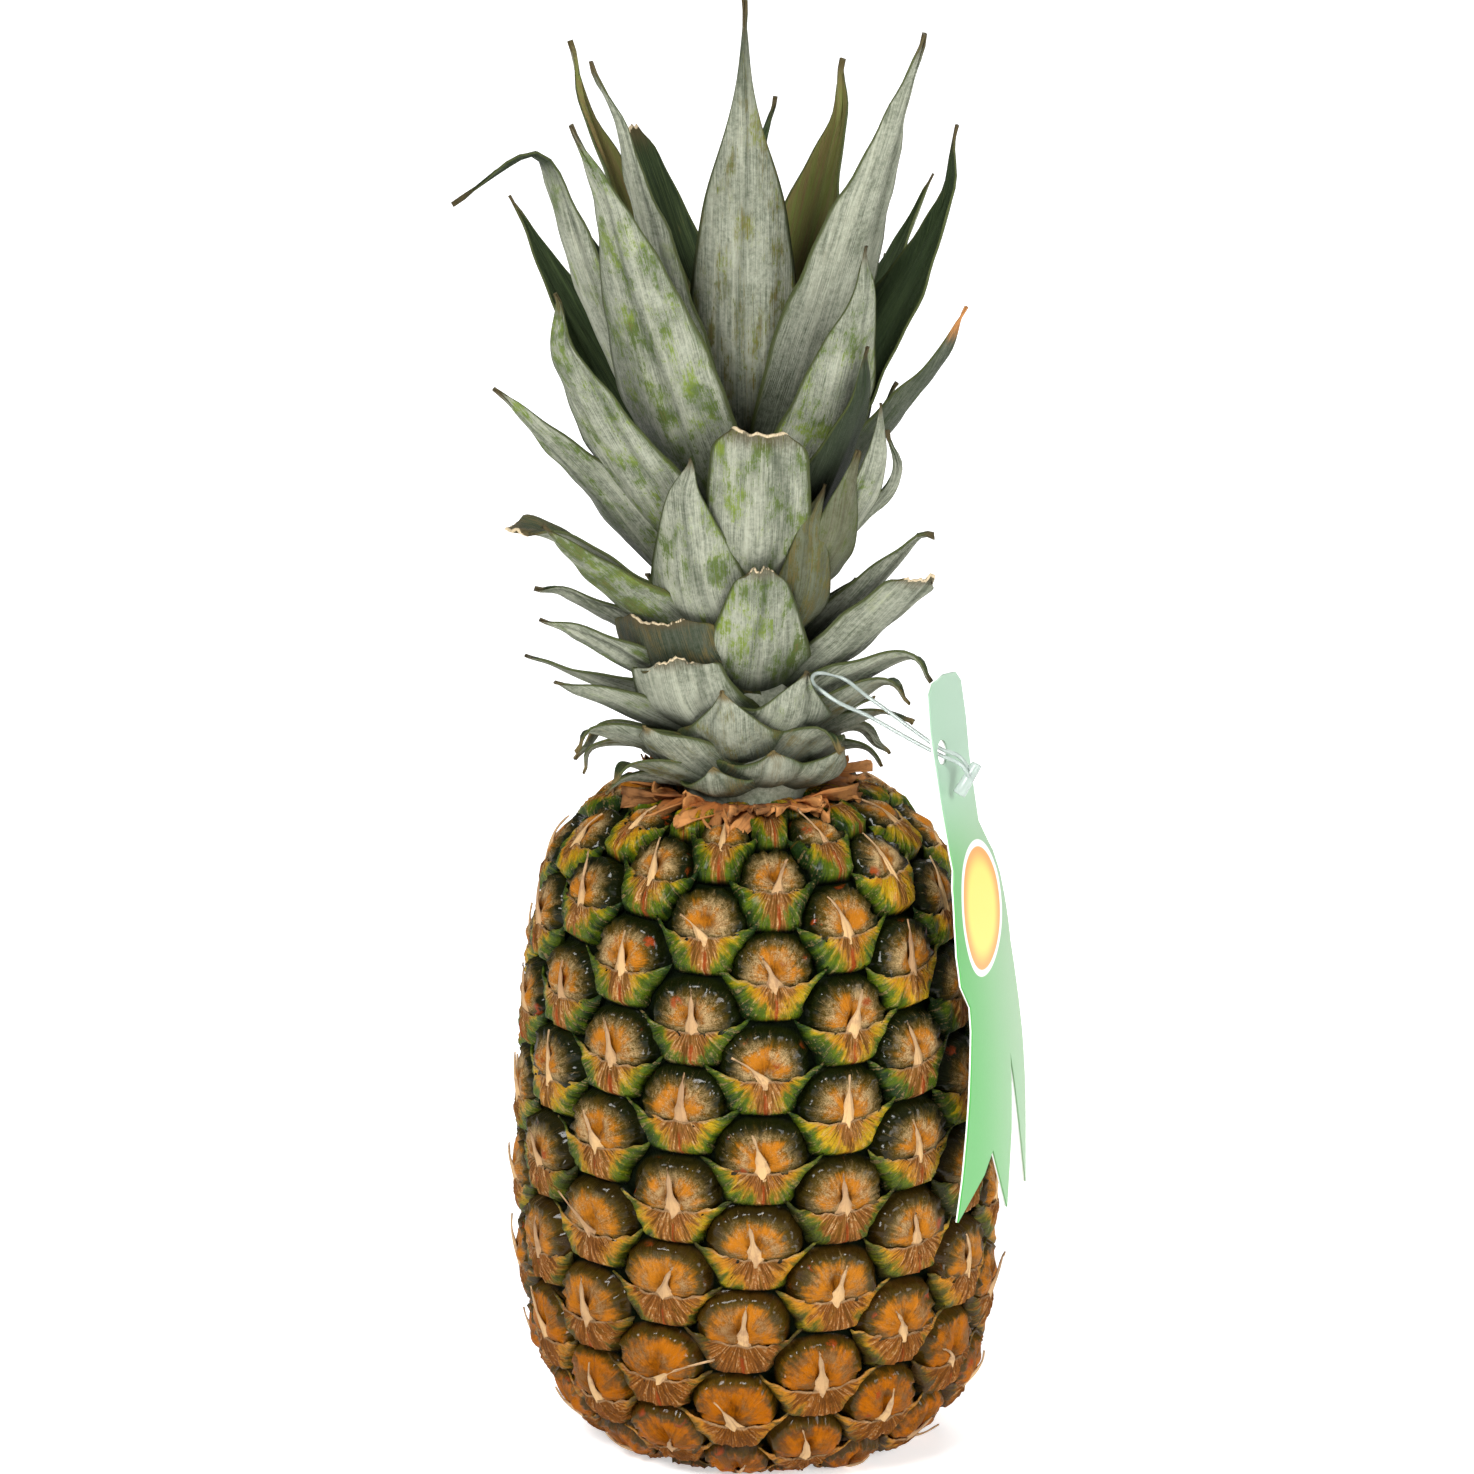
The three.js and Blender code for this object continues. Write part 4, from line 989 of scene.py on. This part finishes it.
def leaf_place(leaf, seed):
    """Layout of one leaf, an arched, slightly waved blade along its path, and its length."""
    shuffle = np.random.default_rng(seed)
    tone = shuffle.uniform()
    phase = shuffle.uniform(0.0, 6.28, 5)
    root = leaf["path"][0][1]
    blunt = leaf.get("blunt", 0.0)
    roll = math.radians(leaf.get("turn", ROLL_TO_FRONT * math.sin(math.radians(leaf["at"]))))
    twist = math.radians(shuffle.uniform(-14, 14))
    hook = shuffle.uniform(-1.0, 1.0, 2) * (0.0 if blunt else leaf.get("hook", 1.0))
    crease = (shuffle.uniform(-0.65, 0.65), shuffle.uniform(-0.6, 1.2))
    dry = leaf.get("dry", 0.68 if root < DRIED_BELOW else 0.1)
    features = (leaf.get("rubbed", 0.35 * shuffle.uniform()), dry, leaf.get("dark", 0.0))
    along_path, path = by_length(spline(leaf["path"], 120))
    slope = np.gradient(path, along_path, axis=0)
    length = along_path[-1]
    low = root < WIDE_ROOT_BELOW
    nip = leaf.get("nip", 0.0 if low else 0.25)
    turn = math.radians(leaf["at"])
    outward = np.array((math.sin(turn), -math.cos(turn), 0.0))
    sideways = np.array((math.cos(turn), math.sin(turn), 0.0))
    up = np.array((0.0, 0.0, 1.0))

    def place(across, along):
        p = (across - 0.5) * 2.0
        at = along * length
        reach = np.interp(at, along_path, path[:, 0])[:, None]
        height = np.interp(at, along_path, path[:, 1])[:, None]
        lean = np.interp(at, along_path, slope[:, 0])[:, None]
        rise = np.interp(at, along_path, slope[:, 1])[:, None]
        norm = np.hypot(lean, rise)
        outer = (outward * rise - up * lean) / norm
        spin = (roll * np.minimum(along * 3, 1.0) + twist * along ** 2)[:, None]
        side = sideways * np.cos(spin) + outer * np.sin(spin)
        outer = outer * np.cos(spin) - sideways * np.sin(spin)
        width = leaf["wide"] * np.maximum(leaf_width(along, blunt, low, nip), 0.012)
        ragged = 0.9 * np.sin(p * 2.6 + phase[0]) + 0.5 * np.sin(p * 7 + phase[1])
        ragged = ragged + 0.3 * np.sin(p * (11 + 12 * tone) + phase[4])
        ragged = ragged - 2.2 * np.abs(p) ** 3
        torn = (ragged if blunt else 0.0) * smooth(along, 0.9, 1.0)
        arch = width * (0.26 - 0.1 * along) * np.abs(p) ** 1.7
        ripple = np.sin(at * 0.19 + phase[2]) * 0.5 + np.sin(at * 0.43 + phase[3] + np.sign(p)) * 0.25
        wave = ripple * np.abs(p) ** 3 * smooth(along, 0.12, 0.5)
        pleat = 0.16 * np.sin(p * 11 + phase[4]) * np.sin(math.pi * along)
        line = crease[0] + 0.12 * np.sin(along * 9 + phase[1])
        pleat = pleat - crease[1] * np.exp(-((p - line) / 0.15) ** 2) * smooth(along, 0.1, 0.4)
        middle = outward * reach + up * height + np.array((-LEAN * CROWN_BASE, 0.0, 0.0))
        curl = smooth(along, 0.8, 1.0) ** 1.5 * min(length, 60) * 0.06
        points = middle + side * (p * width / 2 + hook[0] * curl)[:, None]
        points = points + outer * (0.4 + pleat + wave - arch + hook[1] * curl)[:, None]
        points = points + (outward * lean + up * rise) / norm * np.broadcast_to(torn, p.shape)[:, None]
        local = np.stack((p * width / 2, at, along), axis=-1)
        look = np.stack((np.full_like(p, tone), np.full_like(p, 1.0 if blunt else 0.0), np.abs(p)), axis=-1)
        # Painted shade: darker near the stem, towards each leaf's root and along its fold, on top of the
        # darkening of leaves listed as dark
        crevice_shade = (1.0 - smooth(reach[:, 0], 13.0, 27.0)) * (1.0 - smooth(height[:, 0], 240.0, 290.0)) * 0.97
        crevice_shade = np.maximum(crevice_shade, 0.85 * (1.0 - smooth(along, 0.08, 0.42)))
        shade = np.maximum(features[2] * smooth(along, *leaf.get("dark_from", (-1.0, -0.5))), crevice_shade)
        fold_shade = 0.5 * np.exp(-((p - line - 0.1) / 0.09) ** 2) * smooth(along, 0.2, 0.5)
        shade = shade + fold_shade * (shade < 0.5)
        wear_and_shade = np.stack((np.full_like(p, features[0]), np.full_like(p, features[1]), shade), axis=-1)
        return points * MM, local, look, wear_and_shade

    return place, length


def build_leaves(name, leaves, columns, seed):
    """A set of leaves, with more rows in the long ones."""
    sheets = []
    for number, leaf in enumerate(leaves):
        place, length = leaf_place(leaf, seed + number)
        rows = LONG_LEAF_ROWS if length > LONG_LEAF else SHORT_LEAF_ROWS
        sheets.append((columns, rows, place))
    return mesh_of_sheets(name, ("leaf", "leaf_look", "leaf_wear_and_shade"), sheets)


def build_stem():
    """The short stem inside the leaves."""
    outline = ((0, 0), (15, 0), (16.5, 8), (17.5, 22), (15, 45), (10, 70), (5, 92), (0, 100))
    bm = bmesh.new()
    start = [bm.verts.new((r * MM, 0, (CROWN_BASE + z) * MM)) for r, z in outline]
    edges = [bm.edges.new(pair) for pair in zip(start, start[1:])]
    bmesh.ops.spin(bm, geom=start + edges, cent=(0, 0, 0), axis=(0, 0, 1), angle=math.tau, steps=32,
                   use_merge=True, use_normal_flip=False, use_duplicate=False)
    bmesh.ops.remove_doubles(bm, verts=bm.verts, dist=1e-5)
    bmesh.ops.recalc_face_normals(bm, faces=bm.faces)
    bmesh.ops.translate(bm, verts=bm.verts, vec=(-LEAN * CROWN_BASE * MM, 0, 0))
    return mesh_from(bm, "crown_stem")


def collar_place(number):
    """Layout of one dry bract at the neck: a curled, crumpled scrap that lies on the shoulder."""
    shuffle = np.random.default_rng(SCRAP_SEED + number)
    tone = shuffle.uniform()
    turn = math.radians(360.0 * (number + shuffle.uniform(-0.4, 0.4)) / SCRAP_COUNT)
    outward = np.array((math.sin(turn), -math.cos(turn), 0.0))
    sideways = np.array((math.cos(turn), math.sin(turn), 0.0))
    reach = shuffle.uniform(24, 34)
    lift = shuffle.uniform(-3.0, 7.0)
    width = shuffle.uniform(5, 13)
    curl = shuffle.uniform(-0.6, 2.0)
    skew = shuffle.uniform(-7.0, 7.0)
    tilt = shuffle.uniform(-1.6, 1.6)
    phase = shuffle.uniform(0.0, 6.28, 3)

    def place(across, along):
        p = (across - 0.5) * 2.0
        half = width / 2 * (1 - along ** 1.3) ** 0.7 + 0.1
        r = 19.5 + (reach - 19.5) * along + 0.8 * np.sin(p * 4 + phase[0]) * along
        ground = np.interp(-r, -OUTLINE[250:, 0], OUTLINE[250:, 1])
        crumple = 0.8 * np.sin(p * 5 + phase[1] + along * 3) + 0.4 * np.sin(p * 11 + along * 7 + phase[2])
        z = ground + 1.6 + lift * along ** 1.6 + (curl * 2.2 * p ** 2 + tilt * p) * along
        z = z + crumple * (0.3 + along)
        side = p * half + skew * along ** 2
        points = outward * r[:, None] + sideways * side[:, None]
        points = points + np.stack((0 * z - LEAN * CROWN_BASE, 0 * z, z), axis=-1)
        return points * MM, np.stack((p, along, np.full_like(p, tone)), axis=-1)

    return place


def build_collar():
    """All scraps of the collar."""
    sheets = [(*SCRAP_GRID, collar_place(number)) for number in range(SCRAP_COUNT)]
    return mesh_of_sheets("dry_collar", ("flake",), sheets)


# Geometry of the tag


def build_card():
    """The card: a flat outline with a hole, given its thickness, cut into rows and bent."""
    curve = bpy.data.curves.new("tag_outline", "CURVE")
    curve.dimensions = "2D"
    curve.fill_mode = "BOTH"
    curve.extrude = CARD_THICKNESS / 2
    around = [math.tau * i / 24 for i in range(24)]
    hole = [(CARD_HOLE["across"] + CARD_HOLE["radius"] * math.cos(turn),
             CARD_HOLE["height"] + CARD_HOLE["radius"] * math.sin(turn)) for turn in around]
    for points in (CARD_OUTLINE, hole):
        line = curve.splines.new("POLY")
        line.points.add(len(points) - 1)
        line.use_cyclic_u = True
        for point, (x, y) in zip(line.points, points):
            point.co = (x, y, 0, 1)
    holder = bpy.data.objects.new("tag_outline", curve)
    mesh = bpy.data.meshes.new_from_object(holder)
    bpy.data.objects.remove(holder)
    bm = bmesh.new()
    bm.from_mesh(mesh)
    bmesh.ops.remove_doubles(bm, verts=bm.verts, dist=1e-4)
    heights = [height for _, height in CARD_OUTLINE]
    low, high = min(heights), max(heights)
    for i in range(1, CARD_ROWS):
        height = low + (high - low) * i / CARD_ROWS
        bmesh.ops.bisect_plane(bm, geom=bm.verts[:] + bm.edges[:] + bm.faces[:], dist=1e-4,
                               plane_co=(0, height, 0), plane_no=(0, 1, 0))
    bmesh.ops.recalc_face_normals(bm, faces=bm.faces)
    layer = bm.verts.layers.float_vector.new("card")
    bend = spline(CARD_CURVE, 200)
    turn = math.radians(CARD_AZIMUTH)
    normal = Vector((math.sin(turn), -math.cos(turn), 0))
    across = Vector((math.cos(turn), math.sin(turn), 0))
    for vert in bm.verts:
        x, height, depth = vert.co
        distance = np.interp(height, bend[:, 0], bend[:, 1]) + depth + CARD_THICKNESS / 2
        vert[layer] = (x, height, 1.0 if depth > 0 else 0.0)
        vert.co = (normal * distance + across * x + Vector((0, 0, height))) * MM
    bpy.data.meshes.remove(mesh)
    bpy.data.curves.remove(curve)
    return mesh_from(bm, "tag_card_sheet")


def build_loop():
    """Clear strand and barrel lock in one mesh."""
    curve = bpy.data.curves.new("strand", "CURVE")
    curve.dimensions = "3D"
    curve.bevel_depth = LOOP_RADIUS * MM
    curve.bevel_resolution = 3
    curve.resolution_u = 10
    line = curve.splines.new("BEZIER")
    line.bezier_points.add(len(LOOP_PATH) - 1)
    line.use_cyclic_u = True
    for point, spot in zip(line.bezier_points, LOOP_PATH):
        point.co = Vector(spot) * MM
        point.handle_left_type = point.handle_right_type = "AUTO"
    holder = bpy.data.objects.new("strand", curve)
    mesh = bpy.data.meshes.new_from_object(holder)
    bpy.data.objects.remove(holder)
    bpy.data.curves.remove(curve)
    bm = bmesh.new()
    bm.from_mesh(mesh)
    bpy.data.meshes.remove(mesh)
    turn = Vector(CLASP["along"]).to_track_quat("Z", "Y").to_matrix().to_4x4()
    place = Matrix.Translation(Vector(CLASP["centre"]) * MM) @ turn
    radius = CLASP["radius"] * MM
    made = bmesh.ops.create_cone(bm, cap_ends=True, cap_tris=False, segments=24, radius1=radius,
                                 radius2=radius * 0.82, depth=CLASP["length"] * MM, matrix=place)
    edges = {edge for vert in made["verts"] for edge in vert.link_edges}
    rims = [edge for edge in edges if len(edge.link_faces) == 2 and edge.calc_face_angle() > 0.8]
    bmesh.ops.bevel(bm, geom=rims, offset=0.35 * MM, segments=3, profile=0.5, affect="EDGES",
                    material=-1)
    bmesh.ops.recalc_face_normals(bm, faces=bm.faces)
    return mesh_from(bm, "tag_strand")


# Operators


class PINEAPPLE_OT_fruit(bpy.types.Operator):
    """Adds the barrel with its domes, bracts and thorns"""

    bl_idname = "pineapple.add_fruit"
    bl_label = "Add fruit"

    def execute(self, context):
        settings = context.scene.pineapple_fruit
        add_object("fruit_skin", build_skin(settings), replaces=("fruit",),
                   materials=(skin_material(settings),))
        bracts = add_object("fruit_bracts", build_bracts(), replaces=("fruit",),
                            materials=(bract_material(settings),))
        thicken(bracts, settings.bract_wall)
        dry = flake_material("dry_thorn", settings.bract_pale, settings.thorn, (0.3, 0.16, 0.08))
        thorns = add_object("fruit_thorns", build_thorns(settings), replaces=("fruit",),
                            materials=(dry,))
        thicken(thorns, PAPER_WALL)
        return {"FINISHED"}


class PINEAPPLE_OT_collar(bpy.types.Operator):
    """Adds the ring of dry bracts round the neck"""

    bl_idname = "pineapple.add_collar"
    bl_label = "Add collar"

    def execute(self, context):
        settings = context.scene.pineapple_crown
        paper = flake_material("dry_paper", settings.collar_orange, settings.collar_tan,
                               settings.collar_dark)
        collar = add_object("dry_collar", build_collar(), replaces=("bract_collar",),
                            materials=(paper,))
        thicken(collar, PAPER_WALL)
        return {"FINISHED"}


class PINEAPPLE_OT_crown(bpy.types.Operator):
    """Adds the crown leaves and their stem"""

    bl_idname = "pineapple.add_crown"
    bl_label = "Add crown"

    def execute(self, context):
        settings = context.scene.pineapple_crown
        outer = leaf_material("leaf_outer", settings, True)
        inner = leaf_material("leaf_inner", settings, False)
        sets = (("crown_leaves", FRONT_LEAVES, FRONT_COLUMNS, FRONT_LEAF_SEED),
                ("crown_back_leaves", back_leaves(), BACK_COLUMNS, BACK_LEAF_SEED))
        for name, leaves, columns, seed in sets:
            piece = add_object(name, build_leaves(name, leaves, columns, seed),
                               replaces=("crown",), materials=(outer, inner))
            thicken(piece, settings.blade_wall, material_offset=1)
        add_object("crown_stem", build_stem(), replaces=("crown",), materials=(outer,))
        return {"FINISHED"}


class PINEAPPLE_OT_stub(bpy.types.Operator):
    """Gives the cut stalk its fibrous finish"""

    bl_idname = "pineapple.finish_stub"
    bl_label = "Finish stalk"

    def execute(self, context):
        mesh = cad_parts["stalk_stub"].data
        mesh.materials.clear()
        mesh.materials.append(stub_material())
        return {"FINISHED"}


class PINEAPPLE_OT_tag(bpy.types.Operator):
    """Adds the hang tag and its clear loop"""

    bl_idname = "pineapple.add_tag"
    bl_label = "Add tag"

    def execute(self, context):
        settings = context.scene.pineapple_tag
        add_object("hang_card", build_card(), replaces=("tag_card",),
                   materials=(card_material(settings),), sharp_over=40)
        add_object("clear_loop", build_loop(), replaces=("tag_loop",),
                   materials=(clear_material(),), sharp_over=40)
        return {"FINISHED"}


def add_area_light(name, place, size, power, target):
    """A round soft light that faces the object."""
    light = bpy.data.lights.new(name, "AREA")
    light.shape = "DISK"
    light.size = size
    light.energy = power
    lamp = bpy.data.objects.new(name, light)
    bpy.context.scene.collection.objects.link(lamp)
    lamp.location = place
    lamp.rotation_euler = (target - Vector(place)).to_track_quat("-Z", "Y").to_euler()


class PINEAPPLE_OT_stage(bpy.types.Operator):
    """Adds the pale floor, the soft lights and the camera"""

    bl_idname = "pineapple.add_stage"
    bl_label = "Add stage"

    def execute(self, context):
        settings = context.scene.pineapple_stage
        scene = context.scene
        bm = bmesh.new()
        bmesh.ops.create_grid(bm, x_segments=1, y_segments=1, size=FLOOR_HALF)
        mesh = mesh_from(bm, "floor")
        floor = bpy.data.objects.new("floor", mesh)
        scene.collection.objects.link(floor)
        tree = Tree("floor_paper")
        grain = tree.noise(tree.place(), 60.0, 3.0, 0.5)
        shade = tree.mix(grain * 0.1, settings.floor_colour, (0.8, 0.8, 0.8))
        paper = tree.finish(base_color=shade, roughness=0.9, specular=0.1, emission_color=(1.0, 1.0, 1.0),
                            emission_strength=settings.floor_glow)
        mesh.materials.append(paper)
        target = Vector(CAMERA_TARGET)
        for name, place, size, share in LIGHTS:
            add_area_light(name, place, size, settings.key_power * share, target)
        world = bpy.data.worlds.new("studio")
        world.use_nodes = True
        world.node_tree.nodes["Background"].inputs["Color"].default_value = (1, 1, 1, 1)
        world.node_tree.nodes["Background"].inputs["Strength"].default_value = settings.ambient
        scene.world = world
        camera = bpy.data.cameras.new("camera")
        camera.sensor_width = SENSOR
        camera.sensor_fit = "AUTO"
        camera.lens = SENSOR * CAMERA_DISTANCE / FRAME_HEIGHT
        lens = bpy.data.objects.new("camera", camera)
        scene.collection.objects.link(lens)
        tilt = math.radians(CAMERA_ELEVATION)
        away = Vector((0, -math.cos(tilt), math.sin(tilt)))
        lens.location = target + away * CAMERA_DISTANCE
        lens.rotation_euler = (-away).to_track_quat("-Z", "Y").to_euler()
        scene.camera = lens
        scene.view_settings.view_transform = "Standard"
        return {"FINISHED"}


class PINEAPPLE_PT_panel(bpy.types.Panel):
    """Buttons for the pieces and their settings"""

    bl_idname = "PINEAPPLE_PT_panel"
    bl_label = "Pineapple"
    bl_space_type = "VIEW_3D"
    bl_region_type = "UI"
    bl_category = "Pineapple"

    def draw(self, context):
        for operator in OPERATORS:
            self.layout.operator(operator.bl_idname)
        for name in SETTINGS:
            group = getattr(context.scene, name)
            box = self.layout.box()
            for key in group.__annotations__:
                box.prop(group, key)


OPERATORS = (PINEAPPLE_OT_stage, PINEAPPLE_OT_fruit, PINEAPPLE_OT_collar, PINEAPPLE_OT_crown,
             PINEAPPLE_OT_stub, PINEAPPLE_OT_tag)
SETTINGS = {
    "pineapple_fruit": PineappleFruitSettings,
    "pineapple_crown": PineappleCrownSettings,
    "pineapple_tag": PineappleTagSettings,
    "pineapple_stage": PineappleStageSettings,
}


def register():
    for item in (*SETTINGS.values(), *OPERATORS, PINEAPPLE_PT_panel):
        bpy.utils.register_class(item)
    for name, group in SETTINGS.items():
        setattr(bpy.types.Scene, name, bpy.props.PointerProperty(type=group))


def unregister():
    for name in SETTINGS:
        delattr(bpy.types.Scene, name)
    for item in (PINEAPPLE_PT_panel, *reversed(OPERATORS), *reversed(SETTINGS.values())):
        bpy.utils.unregister_class(item)


def main():
    register()
    bpy.ops.pineapple.add_stage()
    bpy.ops.pineapple.add_fruit()
    bpy.ops.pineapple.add_collar()
    bpy.ops.pineapple.add_crown()
    bpy.ops.pineapple.finish_stub()
    bpy.ops.pineapple.add_tag()


if __name__ == "__main__":
    main()
